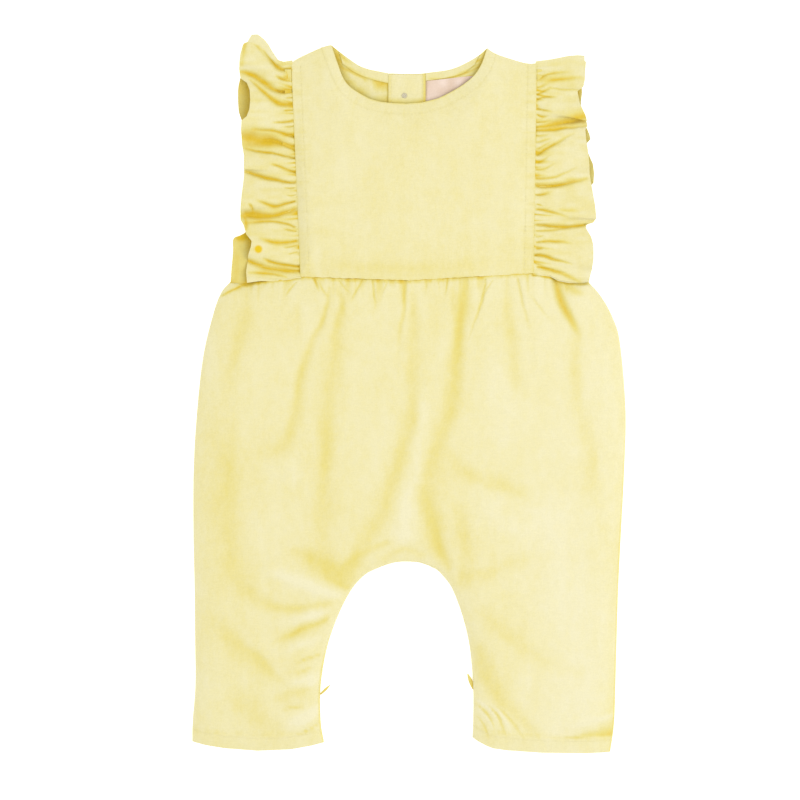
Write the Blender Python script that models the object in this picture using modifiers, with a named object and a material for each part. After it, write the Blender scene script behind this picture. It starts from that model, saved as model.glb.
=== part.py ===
"""Ruffle overalls for a baby, laid flat on their back.

The garment lies on the floor plane with its front up: +Y runs to the neck, +X to the
right-hand side as seen from above, +Z up. Tables are in millimetres.
Each cut piece of cloth is one sheet, laid through the sections of its table and given
the wall of its cloth. Back pieces lie on the floor, front pieces lie over them.
"""
from collections import namedtuple

import bmesh
import bpy
import numpy as np

MM = 0.001

# Driving sizes
WALL = 1.2                  # cloth with its turned edges
RUFFLE_WALL = 1.0
GAP = 0.3                   # between pieces that are sewn together
FLOOR_LAYER = 0.0           # underside of the pieces that touch the floor
SECOND_LAYER = FLOOR_LAYER + WALL + GAP
THIRD_LAYER = SECOND_LAYER + WALL + GAP
FOURTH_LAYER = THIRD_LAYER + WALL + GAP
CLOTH = (0.905, 0.815, 0.44)
LABEL_PINK = (0.82, 0.66, 0.58)
SNAP_GREY = (0.55, 0.50, 0.38)

# Heights in a section: at its inner end, over most of its width, and at its outer end.
Section = namedtuple(
    "Section", "name inner_x inner_y outer_x outer_y bow inner_z crown_z outer_z cells sharp"
)
Fold = namedtuple("Fold", "name x1 y1 x2 y2 x3 y3 half_width height")
Ruff = namedtuple(
    "Ruff", "name seam_y seam_z edge_x edge_y edge_z rise lap cells"
)

# The two straight seams between the yoke and the ruffles, from the shoulder to the waist
SeamLine = namedtuple("SeamLine", "top_x top_y waist_x waist_y way")
LEFT_SEAM = SeamLine(-82.5, 232.0, -76.0, 82.2, -1.0)
RIGHT_SEAM = SeamLine(89.6, 232.0, 87.2, 84.8, 1.0)
RUFFLE_GAP = 0.5            # the ruffle's gathered edge ends this far from the yoke's fold


def seam_x(seam, y):
    """Where a ruffle seam is at a height along the garment."""
    share = (seam.top_y - y) / (seam.top_y - seam.waist_y)
    return seam.top_x + (seam.waist_x - seam.top_x) * share


def on_seam(name, inner_x, inner_y, seam, outer_y, *rest):
    """A section whose outer end lies on a ruffle seam."""
    return Section(name, inner_x, inner_y, seam_x(seam, outer_y), outer_y, *rest)


SIDE_Z = SECOND_LAYER       # side seams lie on the back
CROWN_Z = 8.6               # the front stands clear of the back over the hollow
SEAM_Z = FOURTH_LAYER       # yoke seams lie over the two side panels and the ruffle
NECK_Z = 4.6
ROLL_SHARE = 0.22           # share of a section's width over which its ends roll down

# The waist seam, on the trousers' side of it, at the two yoke corners and the centre
WAIST_LEFT_Y, WAIST_Y, WAIST_RIGHT_Y = 81.7, 79.1, 84.2
WAIST_GAP = 0.5
# Where it meets the side seams
LEFT_CORNER = (-125.3, 78.6)
RIGHT_CORNER = (126.0, 78.4)

# Front trousers: inner ends follow the inside legs and the crotch, outer ends the side
# seams and the waist.
TROUSER_FRONT = [
    Section("left_hem", -60.0, -244.6, -152.0, -241.8, 7.0, SIDE_Z, 8.2, SIDE_Z, 2, 0),
    Section("left_hem_top", -61.9, -230.0, -151.7, -229.0, 2.0, SIDE_Z, CROWN_Z, SIDE_Z, 3, 0),
    Section("left_calf", -62.0, -205.0, -149.8, -203.0, 0.0, SIDE_Z, CROWN_Z, SIDE_Z, 3, 0),
    Section("left_knee", -57.5, -178.0, -150.1, -170.0, 0.0, SIDE_Z, CROWN_Z, SIDE_Z, 3, 0),
    Section("left_thigh", -49.5, -155.0, -150.4, -137.0, 0.0, SIDE_Z, CROWN_Z, SIDE_Z, 3, 0),
    Section("left_seat", -40.5, -137.5, -151.2, -100.0, 0.0, SIDE_Z, CROWN_Z, SIDE_Z, 3, 0),
    Section("left_hip", -31.0, -127.0, -151.2, -58.0, 0.0, SIDE_Z, CROWN_Z, SIDE_Z, 3, 0),
    Section("left_side", -22.0, -122.3, -149.3, -20.0, 0.0, SIDE_Z, CROWN_Z, SIDE_Z, 3, 0),
    Section("left_flare", -15.0, -119.6, -144.6, 25.0, 0.0, SIDE_Z, CROWN_Z, SIDE_Z, 3, 0),
    Section("left_high", -13.2, -119.1, -137.2, 56.5, 0.0, SIDE_Z, CROWN_Z, SIDE_Z, 2, 0),
    Section("left_bend", -11.2, -118.5, -131.6, 71.4, 0.0, SIDE_Z, CROWN_Z, SIDE_Z, 1, 0),
    Section("left_corner", -9.5, -118.2, *LEFT_CORNER, 0.0, SIDE_Z, CROWN_Z, SIDE_Z, 5, 1),
    Section("left_yoke", -4.8, -117.6, -76.0, WAIST_LEFT_Y, 0.0, SIDE_Z, CROWN_Z, 4.2, 4, 1),
    Section("waist_left", -2.2, -117.6, -38.0, 80.4, 0.0, SIDE_Z, CROWN_Z, 7.4, 4, 1),
    Section("centre", 0.6, -117.6, 0.0, WAIST_Y, 0.0, SIDE_Z, CROWN_Z, 7.8, 4, 1),
    Section("waist_right", 3.4, -117.8, 43.6, 81.65, 0.0, SIDE_Z, CROWN_Z, 7.4, 5, 1),
    Section("right_yoke", 6.8, -118.2, 87.2, WAIST_RIGHT_Y, 0.0, SIDE_Z, CROWN_Z, 4.2, 4, 1),
    Section("right_corner", 11.2, -119.5, *RIGHT_CORNER, 0.0, SIDE_Z, CROWN_Z, SIDE_Z, 1, 1),
    Section("right_bend", 12.6, -120.0, 134.2, 69.3, 0.0, SIDE_Z, CROWN_Z, SIDE_Z, 2, 0),
    Section("right_high", 14.0, -120.6, 142.5, 54.6, 0.0, SIDE_Z, CROWN_Z, SIDE_Z, 2, 0),
    Section("right_flare", 15.5, -121.3, 148.0, 36.0, 0.0, SIDE_Z, CROWN_Z, SIDE_Z, 3, 0),
    Section("right_side", 19.8, -123.6, 152.0, -12.0, 0.0, SIDE_Z, CROWN_Z, SIDE_Z, 3, 0),
    Section("right_hip", 25.0, -129.0, 150.8, -58.0, 0.0, SIDE_Z, CROWN_Z, SIDE_Z, 3, 0),
    Section("right_seat", 30.5, -137.0, 148.6, -100.0, 0.0, SIDE_Z, CROWN_Z, SIDE_Z, 3, 0),
    Section("right_thigh", 37.3, -155.0, 146.8, -137.0, 0.0, SIDE_Z, CROWN_Z, SIDE_Z, 3, 0),
    Section("right_knee", 42.5, -177.0, 145.8, -170.0, 0.0, SIDE_Z, CROWN_Z, SIDE_Z, 3, 0),
    Section("right_calf", 45.0, -205.0, 144.9, -203.0, 0.0, SIDE_Z, CROWN_Z, SIDE_Z, 3, 0),
    Section("right_hem_top", 45.0, -229.0, 143.9, -231.0, 0.0, SIDE_Z, CROWN_Z, SIDE_Z, 2, 0),
    Section("right_hem", 46.0, -242.6, 142.4, -250.0, -5.0, SIDE_Z, 8.2, SIDE_Z, 2, 0),
]
TROUSER_CELLS_ACROSS = 13

# Front yoke: inner ends follow the neck, outer ends the ruffle seams and the waist.
YOKE_FRONT = [
    on_seam("left_shoulder", -54.3, 244.8, LEFT_SEAM, 232.0, -1.3, SIDE_Z, SIDE_Z, SIDE_Z, 2, 0),
    on_seam("left_strap", -50.3, 232.6, LEFT_SEAM, 208.0, 0.0, 3.0, 4.6, SEAM_Z - 0.5, 2, 0),
    on_seam("left_armhole", -45.9, 221.2, LEFT_SEAM, 173.0, 0.0, 4.0, 6.6, SEAM_Z, 2, 0),
    on_seam("left_chest", -39.8, 214.2, LEFT_SEAM, 138.0, 0.0, NECK_Z, 8.0, SEAM_Z, 2, 0),
    on_seam("left_side", -28.4, 207.4, LEFT_SEAM, 106.0, 0.0, NECK_Z, CROWN_Z, SEAM_Z, 2, 0),
    on_seam(
        "left_corner", -20.0, 204.9, LEFT_SEAM, WAIST_LEFT_Y + WAIST_GAP,
        0.0, NECK_Z, CROWN_Z, SEAM_Z, 3, 1,
    ),
    Section("waist_left", -11.0, 203.8, -38.0, 80.9, 0.0, NECK_Z, CROWN_Z, 8.0, 3, 1),
    Section("waist_centre", -1.3, 203.6, 0.0, WAIST_Y + WAIST_GAP, 0.0, NECK_Z, CROWN_Z, 8.4, 3, 1),
    Section("waist_right", 9.0, 204.3, 43.6, 82.2, 0.0, NECK_Z, CROWN_Z, 8.0, 3, 1),
    on_seam(
        "right_corner", 20.5, 207.2, RIGHT_SEAM, WAIST_RIGHT_Y + WAIST_GAP,
        0.0, NECK_Z, CROWN_Z, SEAM_Z, 2, 1,
    ),
    on_seam("right_side", 30.0, 212.0, RIGHT_SEAM, 108.0, 0.0, NECK_Z, CROWN_Z, SEAM_Z, 2, 0),
    on_seam("right_chest", 38.2, 217.0, RIGHT_SEAM, 140.0, 0.0, NECK_Z, 8.0, SEAM_Z, 2, 0),
    on_seam("right_armhole", 45.9, 223.6, RIGHT_SEAM, 175.0, 0.0, 4.0, 6.6, SEAM_Z, 2, 0),
    on_seam("right_strap", 51.1, 232.0, RIGHT_SEAM, 208.0, 0.0, 3.0, 4.6, SEAM_Z - 0.5, 2, 0),
    on_seam("right_shoulder", 54.8, 242.9, RIGHT_SEAM, 232.0, -2.6, SIDE_Z, SIDE_Z, SIDE_Z, 2, 0),
]
YOKE_CELLS_ACROSS = 9

# Back yoke halves: inner ends follow the centre back and the neck.
PLACKET_LEFT, PLACKET_RIGHT = -14.0, 11.2
BACK_LEFT = [
    on_seam("waist", PLACKET_LEFT - GAP, 79.8, LEFT_SEAM, 82.2, 0, 0, 0, 0, 3, 0),
    on_seam("chest", PLACKET_LEFT - GAP, 140.0, LEFT_SEAM, 138.0, 0, 0, 0, 0, 2, 0),
    on_seam("armhole", PLACKET_LEFT - GAP, 190.0, LEFT_SEAM, 185.0, 0, 0, 0, 0, 2, 0),
    on_seam("neck_corner", PLACKET_LEFT - GAP, 224.9, LEFT_SEAM, 210.0, 0, 0, 0, 0, 2, 1),
    on_seam("neck_side", -31.9, 229.1, LEFT_SEAM, 221.0, 0, 0, 0, 0, 1, 0),
    on_seam("neck_rise", -43.3, 236.1, LEFT_SEAM, 227.0, 0, 0, 0, 0, 1, 0),
    on_seam("shoulder", -54.3, 244.6, LEFT_SEAM, 232.0, -1.0, 0, 0, 0, 1, 0),
]
BACK_RIGHT = [
    on_seam("waist", PLACKET_LEFT, 79.8, RIGHT_SEAM, 84.8, 0, 0, 0, 0, 3, 0),
    on_seam("chest", PLACKET_LEFT, 140.0, RIGHT_SEAM, 140.0, 0, 0, 0, 0, 2, 0),
    on_seam("armhole", PLACKET_LEFT, 190.0, RIGHT_SEAM, 185.0, 0, 0, 0, 0, 2, 0),
    on_seam("neck_corner", PLACKET_LEFT, 224.9, RIGHT_SEAM, 205.0, 0, 0, 0, 0, 2, 1),
    on_seam("neck_centre", 9.2, 224.9, RIGHT_SEAM, 213.0, 0, 0, 0, 0, 1, 0),
    on_seam("neck_side", 30.0, 228.1, RIGHT_SEAM, 221.0, 0, 0, 0, 0, 1, 0),
    on_seam("neck_rise", 46.0, 235.6, RIGHT_SEAM, 228.0, 0, 0, 0, 0, 1, 0),
    on_seam("shoulder", 54.8, 242.6, RIGHT_SEAM, 232.0, -2.9, 0, 0, 0, 1, 0),
]
BACK_CELLS_ACROSS = 4

# Neck facings on the inside of the back: inner ends on the neck edge.
FACING_LEFT = [
    Section("at_placket", -16.6, 225.3, -15.2, 218.0, 0, 0, 0, 0, 3, 0),
    Section("neck_side", -31.9, 229.0, -29.0, 221.6, 0, 0, 0, 0, 2, 0),
    Section("neck_rise", -43.3, 235.9, -39.5, 226.6, 0, 0, 0, 0, 2, 0),
    Section("at_shoulder", -49.0, 240.2, -46.5, 231.6, 0, 0, 0, 0, 1, 0),
]
FACING_RIGHT = [
    Section("at_placket", PLACKET_RIGHT + 0.6, 225.2, PLACKET_RIGHT + 0.6, 219.8, 0, 0, 0, 0, 3, 0),
    Section("neck_side", 30.0, 228.0, 26.0, 221.2, 0, 0, 0, 0, 2, 0),
    Section("neck_rise", 46.0, 235.3, 38.5, 225.4, 0, 0, 0, 0, 2, 0),
    Section("at_shoulder", 49.5, 238.2, 46.0, 231.2, 0, 0, 0, 0, 1, 0),
]
FACING_WALL = 1.0

# Back trousers lie flat. Outer ends as on the front, a little inside them.
BACK_INSET = 0.4
BACK_TROUSER_CELLS_ACROSS = 4

# Side panels under the ruffles, as shares: how far down the ruffle seam, how wide
# compared with the waist, and how far the outer edge has sunk to the waist's corner.
Panel = namedtuple("Panel", "name down width sunk")
SIDE_PANEL = [
    Panel("shoulder", 0.03, 0.09, 0.0),
    Panel("armhole_top", 0.30, 0.14, 0.0),
    Panel("armhole_curve", 0.55, 0.27, 0.0),
    Panel("armhole_low", 0.70, 0.46, 0.1),
    Panel("underarm", 0.78, 0.71, 0.25),
    Panel("side", 0.88, 0.88, 0.5),
    Panel("waist", 1.0, 1.0, 1.0),
]
SIDE_PANEL_STEPS, SIDE_PANEL_ACROSS = 2, 5

# Ruffles: strips sewn in over the shoulder, from the back waist to the front waist. Each
# row is a valley; the tongue of cloth after it rises, and laps down over the next one.
RUFFLE_LEFT = [
    Ruff("back_waist", 84.0, 0.5, -112.0, 87.0, 0.5, 0.0, 0.0, 3),
    Ruff("back_middle", 140.0, 0.5, -116.0, 142.0, 0.5, 0.0, 0.0, 3),
    Ruff("back_high", 200.0, 0.5, -117.0, 205.0, 0.5, 0.0, 0.0, 2),
    Ruff("back_top", 230.0, 0.5, -113.0, 241.0, 0.5, 0.0, 0.0, 2),
    Ruff("over_shoulder", 233.4, 2.8, -110.5, 252.0, 3.0, 0.0, 0.0, 2),
    Ruff("front_top", 230.5, 5.1, -113.0, 246.0, 5.0, 3.5, 5.0, 6),
    Ruff("first_valley", 211.0, 5.1, -118.5, 226.0, 4.6, 6.5, 9.0, 8),
    Ruff("big_pocket", 176.0, 5.1, -117.5, 176.5, 4.0, 4.0, 6.0, 7),
    Ruff("middle_valley", 148.0, 5.1, -116.0, 155.0, 4.6, 4.5, 8.0, 6),
    Ruff("low_pocket", 127.0, 5.1, -116.5, 124.5, 5.2, 4.5, 5.0, 8),
    Ruff("last_valley", 85.6, 5.2, -113.8, 92.0, 5.2, 1.5, 0.0, 3),
    Ruff("front_waist", 82.8, 5.2, -113.4, 79.4, 5.4, 0.0, 0.0, 0),
]
RUFFLE_RIGHT = [
    Ruff("back_waist", 86.0, 0.5, 122.0, 87.0, 0.5, 0.0, 0.0, 3),
    Ruff("back_middle", 140.0, 0.5, 126.0, 142.0, 0.5, 0.0, 0.0, 3),
    Ruff("back_high", 200.0, 0.5, 122.0, 205.0, 0.5, 0.0, 0.0, 2),
    Ruff("back_top", 229.0, 0.5, 121.0, 230.0, 0.5, 0.0, 0.0, 2),
    Ruff("over_shoulder", 232.9, 2.8, 124.4, 236.4, 3.0, 0.0, 0.0, 2),
    Ruff("front_top", 230.5, 5.1, 124.4, 232.0, 5.0, 3.5, 3.0, 6),
    Ruff("first_valley", 214.0, 5.1, 118.6, 209.5, 4.6, 6.5, 11.0, 8),
    Ruff("big_pocket", 187.0, 5.1, 123.8, 193.0, 4.0, 5.0, 9.0, 8),
    Ruff("middle_valley", 146.5, 5.1, 127.6, 151.0, 4.8, 5.0, 10.0, 7),
    Ruff("low_pocket", 117.2, 5.1, 123.6, 119.5, 5.2, 4.5, 6.0, 7),
    Ruff("last_valley", 89.0, 5.2, 126.5, 84.0, 5.2, 1.5, 0.0, 3),
    Ruff("front_waist", 85.2, 5.2, 125.8, 79.6, 5.4, 0.0, 0.0, 0),
]
RUFFLE_CELLS_ACROSS = 6
# Where the free edge is, as (height along the garment, place across it)
EDGE_LEFT = [
    (252.5, -111), (246, -115.5), (238, -118), (226, -119), (218, -113.5), (206, -111),
    (195, -113), (190, -117.5), (175, -117), (162, -115.5), (145, -116.5), (123, -118),
    (115, -115), (107, -110), (98, -112), (86, -113.5), (78, -113.5),
]
EDGE_RIGHT = [
    (236.5, 124.5), (228, 124), (215, 121.5), (212, 118), (204, 119.5), (195, 123.5),
    (188, 125), (184, 124), (165, 125.5), (148, 127.5), (133, 130), (122, 131),
    (118, 124), (110, 128), (100, 129.5), (88, 128), (79, 126),
]
# How far a ruffle's top leaves a straight line, as (share from seam to edge, shift)
TOP_LEFT = [
    (0, -1), (0.25, -7), (0.45, -9.5), (0.55, -9), (0.65, -3.5), (0.7, -0.5), (0.8, 1.5),
    (0.9, 2), (1, 0.5),
]
TOP_RIGHT = [(0, 0), (0.33, 0.4), (0.67, 1.5), (0.87, 1.2), (1, 0.5)]
TOP_REACH = 16.0
EDGE_SHARE = 1.5            # the edge's shape dies out faster than this towards the seam
SEAM_RISE = 0.16            # share of a tongue's rise left at the gathered seam

# The largest folds of the trousers: troughs below, ridges above the hang of the cloth.
FOLDS = [
    Fold("main_pleat", 38.9, 79.8, 32.0, 14.0, 15.0, -46.0, 7.5, -3.6),
    Fold("main_pleat_end", 15.0, -46.0, 12.0, -80.0, 22.0, -112.0, 8.5, -2.6),
    Fold("main_ridge", 51.0, 72.0, 45.0, 14.0, 30.0, -46.0, 9.0, 1.6),
    Fold("left_trough", -46.6, 63.7, -55.0, 0.0, -64.0, -108.0, 8.0, -1.1),
    Fold("left_ridge", -62.0, 60.0, -76.0, 0.0, -88.0, -44.0, 8.0, 1.4),
    Fold("centre_trough", 2.5, 24.0, -5.0, -50.0, -36.0, -112.0, 8.0, -1.6),
    Fold("right_hip_pleat", 100.5, 79.0, 105.0, 62.0, 118.0, 40.0, 6.5, -2.0),
    Fold("right_side_trough", 112.0, 30.0, 122.0, -22.0, 129.0, -60.0, 8.5, -1.2),
    Fold("crotch_pocket", -78.0, -112.0, -60.0, -119.0, -45.0, -130.0, 6.5, -1.3),
    Fold("crotch_ridge", -96.0, -124.0, -72.0, -129.0, -50.0, -139.0, 6.5, 1.8),
    Fold("left_leg_trough", -90.0, -170.0, -76.0, -166.0, -60.0, -160.0, 6.5, -1.2),
    Fold("left_leg_ridge", -134.0, -160.0, -114.0, -182.0, -94.0, -196.0, 7.5, 1.2),
    Fold("right_leg_trough", 52.0, -192.0, 68.0, -214.0, 92.0, -236.0, 7.5, -1.2),
]
FOLD_END, FOLD_FADE = 0.35, 0.2     # depth left at a fold's ends, and where it is full
EDGE_CALM = 0.16            # share of a section next to its seams where folds die out

PLACKET_TOP, PLACKET_BOTTOM = 224.3, 80.6
SNAP_X, SNAP_RADIUS, SNAP_HEIGHT = -3.2, 1.9, 1.0
SNAP_YS = (209.3, 164.0, 118.0)
LABEL_X, LABEL_WIDTH, LABEL_DEPTH, LABEL_WALL = 12.2, 34.0, 19.0, 1.0
LABEL_TOP, LABEL_SLANT = 219.2, 0.10
TAB_WALL = 1.0
Tab = namedtuple("Tab", "name root_x root_y tip_x tip_y width")
TABS = [
    Tab("leg_tab_left", -61.2, -208.5, -57.0, -202.0, 2.2),
    Tab("leg_tab_right", 43.2, -199.0, 40.9, -205.5, 2.6),
]


def clear_scene():
    for item in list(bpy.data.objects):
        bpy.data.objects.remove(item, do_unlink=True)


def cloth_material(name, colour, roughness):
    material = bpy.data.materials.new(name)
    material.use_nodes = True
    shader = material.node_tree.nodes["Principled BSDF"]
    shader.inputs["Base Color"].default_value = (*colour, 1.0)
    shader.inputs["Roughness"].default_value = roughness
    shader.inputs["Metallic"].default_value = 0.0
    return material


def smooth_run(values, sharp, cells):
    """Points on a smooth line through the rows, with a corner at each sharp row."""
    run = []
    last = len(values) - 1
    for row in range(last):
        start, end = values[row], values[row + 1]
        before = 2 * start - end if row == 0 or sharp[row] else values[row - 1]
        after = 2 * end - start if row + 1 == last or sharp[row + 1] else values[row + 2]
        for step in range(cells[row]):
            t = step / cells[row]
            run.append(
                start
                + 0.5 * t * (end - before)
                + 0.5 * t**2 * (2 * before - 5 * start + 4 * end - after)
                + 0.5 * t**3 * (3 * start - before - 3 * end + after)
            )
    run.append(values[last])
    return np.array(run)


def rounded(share):
    """From 0 at an edge to 1 inside, turning over like the rolled side of a layer."""
    share = np.clip(share, 0.0, 1.0)
    return np.sqrt(1.0 - (1.0 - share) ** 2)


def sheet_points(sections, across, base=0.0):
    """A grid of points through the sections, from their inner to their outer ends."""
    sharp = [row.sharp for row in sections]
    cells = [row.cells for row in sections]
    columns = np.array(
        [
            [row.inner_x, row.inner_y, row.outer_x, row.outer_y, row.bow,
             row.inner_z, row.crown_z, row.outer_z]
            for row in sections
        ],
        float,
    )
    run = smooth_run(columns, sharp, cells)
    v = np.linspace(0.0, 1.0, across + 1)[None, :]
    inner_x, inner_y, outer_x, outer_y, bow, inner_z, crown_z, outer_z = (
        run[:, i][:, None] for i in range(8)
    )
    length = np.hypot(outer_x - inner_x, outer_y - inner_y)
    bulge = bow * (1.0 - (2.0 * v - 1.0) ** 4)
    x = inner_x + (outer_x - inner_x) * v - bulge * (outer_y - inner_y) / length
    y = inner_y + (outer_y - inner_y) * v + bulge * (outer_x - inner_x) / length
    near_inner = rounded(v / ROLL_SHARE)
    near_outer = rounded((1.0 - v) / ROLL_SHARE)
    z = base + inner_z + (crown_z - inner_z) * near_inner
    z = z + (outer_z - crown_z) * (1.0 - near_outer)
    return np.stack([x, y, z], axis=-1)


def distance_to_path(x, y, points):
    """Distance to a bent line, and how far along it the nearest place is, 0 to 1."""
    best = np.full(x.shape, 1e9)
    along = np.zeros(x.shape)
    pieces = len(points) - 1
    for i in range(pieces):
        (ax, ay), (bx, by) = points[i], points[i + 1]
        dx, dy = bx - ax, by - ay
        t = np.clip(((x - ax) * dx + (y - ay) * dy) / (dx * dx + dy * dy), 0.0, 1.0)
        away = np.hypot(x - ax - t * dx, y - ay - t * dy)
        closer = away < best
        best = np.where(closer, away, best)
        along = np.where(closer, (i + t) / pieces, along)
    return best, along


def add_folds(points, folds, calm_outer):
    """Lower or raise a sheet along its folds. They die out at the seams."""
    x, y = points[..., 0], points[..., 1]
    v = np.linspace(0.0, 1.0, points.shape[1])[None, :]
    calm = np.clip(v / EDGE_CALM, 0.0, 1.0)
    calm = calm * np.maximum(np.clip((1.0 - v) / EDGE_CALM, 0.0, 1.0), 1.0 - calm_outer)
    for fold in folds:
        path = [(fold.x1, fold.y1), (fold.x2, fold.y2), (fold.x3, fold.y3)]
        away, along = distance_to_path(x, y, path)
        ends = FOLD_END + np.minimum(along, 1.0 - along) / FOLD_FADE
        ends = np.clip(ends, 0.0, 1.0)
        points[..., 2] += fold.height * ends * calm * np.exp(-((away / fold.half_width) ** 2))
    return points


def outer_is_seam(sections):
    """1 where the outer end is a side seam, 0 where it is the waist under the yoke."""
    waist = [1.0 if row.outer_z <= SIDE_Z else 0.0 for row in sections]
    values = np.array(waist)[:, None]
    run = smooth_run(values, [0] * len(sections), [row.cells for row in sections])
    return np.clip(run, 0.0, 1.0)


def along_line(line, place):
    """The value of a table at each place, its places in either order."""
    table = np.array(sorted(line), float)
    return np.interp(place, table[:, 0], table[:, 1])


def ruffle_points(rows, seam, across, edge_line, top_line):
    """A gathered strip. Its tongues rise from the seam to the free edge and lean over."""
    fields = []
    for row in rows:
        root_x = seam_x(seam, row.seam_y) + seam.way * RUFFLE_GAP
        fields.append([root_x, row.seam_y, row.seam_z, row.edge_x, row.edge_y, row.edge_z])
    cells = [row.cells for row in rows]
    run = smooth_run(np.array(fields, float), [0] * len(rows), cells)
    rise, lap, phase = [], [], []
    for row in rows[:-1]:
        for step in range(row.cells):
            rise.append(row.rise)
            lap.append(row.lap)
            phase.append(2.0 * np.pi * step / row.cells)
    rise, lap, phase = (np.array(part + [0.0])[:, None] for part in (rise, lap, phase))
    lift = (1.0 - np.cos(phase)) / 2.0
    v = np.linspace(0.0, 1.0, across + 1)[None, :]
    root, edge = run[:, None, 0:3], run[:, None, 3:6]
    points = root + (edge - root) * v[..., None]
    points[..., 1] -= lap * lift * v
    points[..., 2] += rise * lift * (SEAM_RISE + (1.0 - SEAM_RISE) * v)
    shoulder = [row.name for row in rows].index("over_shoulder")
    from_top = np.abs(run[:, 4] - run[sum(cells[:shoulder]), 4])[:, None]
    front = np.arange(len(run))[:, None] > sum(cells[:shoulder])
    points[..., 1] += along_line(top_line, v) * np.exp(-((from_top / TOP_REACH) ** 2))
    edge_shift = along_line(edge_line, points[:, -1:, 1]) - points[:, -1:, 0]
    points[..., 0] += front * edge_shift * v**EDGE_SHARE
    return points


def side_panel_points(seam, waist_y, corner, base):
    """The piece between a ruffle seam and the armhole and side seam."""
    root_x = seam_x(seam, seam.waist_y) + seam.way * GAP
    full_width = abs(corner[0] - root_x)
    bottom_y = waist_y + WAIST_GAP
    full_drop = corner[1] + WAIST_GAP - bottom_y
    rows = []
    for panel in SIDE_PANEL:
        y = seam.top_y + (bottom_y - seam.top_y) * panel.down
        x = seam_x(seam, y) + seam.way * GAP
        outer_x = x + seam.way * panel.width * full_width
        outer_y = y + panel.sunk * full_drop
        rows.append(
            Section(panel.name, x, y, outer_x, outer_y, 0, 0, 0, 0, SIDE_PANEL_STEPS, 0)
        )
    return sheet_points(rows, SIDE_PANEL_ACROSS, base)


def sheet_object(name, points, wall, material, collection, folded=False):
    """A closed sheet of cloth on a grid of points in millimetres.

    A lying sheet has its wall straight up from the points, so that its seams stay
    upright. A folded one has its wall square to the cloth, half to each side.
    """
    rows, columns = points.shape[:2]
    mesh_cage = bmesh.new()
    bmesh.ops.create_grid(
        mesh_cage, x_segments=rows - 1, y_segments=columns - 1, size=1.0
    )
    for vert in mesh_cage.verts:
        row = round((vert.co.x + 1.0) / 2.0 * (rows - 1))
        column = round((vert.co.y + 1.0) / 2.0 * (columns - 1))
        vert.co = points[row, column] * MM
    if not folded:
        upper = bmesh.ops.extrude_face_region(
            mesh_cage, geom=mesh_cage.faces[:], use_keep_orig=True
        )
        raised = [item for item in upper["geom"] if isinstance(item, bmesh.types.BMVert)]
        bmesh.ops.translate(mesh_cage, verts=raised, vec=(0.0, 0.0, wall * MM))
        bmesh.ops.recalc_face_normals(mesh_cage, faces=mesh_cage.faces[:])
    mesh = bpy.data.meshes.new(name)
    mesh_cage.to_mesh(mesh)
    mesh_cage.free()
    sheet = bpy.data.objects.new(name, mesh)
    collection.objects.link(sheet)
    mesh.materials.append(material)
    mesh.shade_smooth()
    if folded:
        solidify = sheet.modifiers.new("cloth_wall", "SOLIDIFY")
        solidify.thickness = wall * MM
        solidify.offset = 0.0
        solidify.use_even_offset = False
    return sheet


def inset_outer(sections, amount):
    """The same outline a little smaller, with the heights taken out."""
    smaller = []
    for row in sections:
        dx, dy = row.outer_x - row.inner_x, row.outer_y - row.inner_y
        length = (dx * dx + dy * dy) ** 0.5
        smaller.append(
            row._replace(
                outer_x=row.outer_x - amount * dx / length,
                outer_y=row.outer_y - amount * dy / length,
                inner_x=row.inner_x + amount * dx / length,
                inner_y=row.inner_y + amount * dy / length,
                inner_z=0.0,
                crown_z=0.0,
                outer_z=0.0,
                cells=max(1, row.cells - 2),
            )
        )
    return smaller


def strip_points(x1, x2, y1, y2, z, cells=(1, 1), slant=0.0):
    """A flat rectangle whose edges may slant."""
    xs = np.linspace(x1, x2, cells[0] + 1)
    ys = np.linspace(y1, y2, cells[1] + 1)
    grid_x, grid_y = np.meshgrid(xs, ys, indexing="ij")
    grid_y = grid_y + slant * (grid_x - x1)
    return np.stack([grid_x, grid_y, np.full(grid_x.shape, z)], axis=-1)


def add_trousers(material, collection):
    front = sheet_points(TROUSER_FRONT, TROUSER_CELLS_ACROSS)
    front = add_folds(front, FOLDS, outer_is_seam(TROUSER_FRONT))
    sheet_object("trouser_front", front, WALL, material, collection)
    back = sheet_points(
        inset_outer(TROUSER_FRONT, BACK_INSET), BACK_TROUSER_CELLS_ACROSS, FLOOR_LAYER
    )
    sheet_object("trouser_back", back, WALL, material, collection)


def add_yokes(material, collection):
    front = sheet_points(YOKE_FRONT, YOKE_CELLS_ACROSS)
    sheet_object("yoke_front", front, WALL, material, collection)
    halves = (("yoke_back_left", BACK_LEFT), ("yoke_back_right", BACK_RIGHT))
    for name, table in halves:
        points = sheet_points(table, BACK_CELLS_ACROSS, FLOOR_LAYER)
        sheet_object(name, points, WALL, material, collection)
    facings = (("neck_facing_left", FACING_LEFT), ("neck_facing_right", FACING_RIGHT))
    for name, table in facings:
        points = sheet_points(table, 1, SECOND_LAYER)
        sheet_object(name, points, FACING_WALL, material, collection)


def add_side_panels(material, collection):
    sides = (
        ("left", LEFT_SEAM, WAIST_LEFT_Y, LEFT_CORNER),
        ("right", RIGHT_SEAM, WAIST_RIGHT_Y, RIGHT_CORNER),
    )
    layers = (("front", THIRD_LAYER), ("back", SECOND_LAYER))
    for side, seam, waist_y, corner in sides:
        for layer, height in layers:
            points = side_panel_points(seam, waist_y, corner, height)
            sheet_object(f"side_{layer}_{side}", points, WALL, material, collection)


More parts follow.
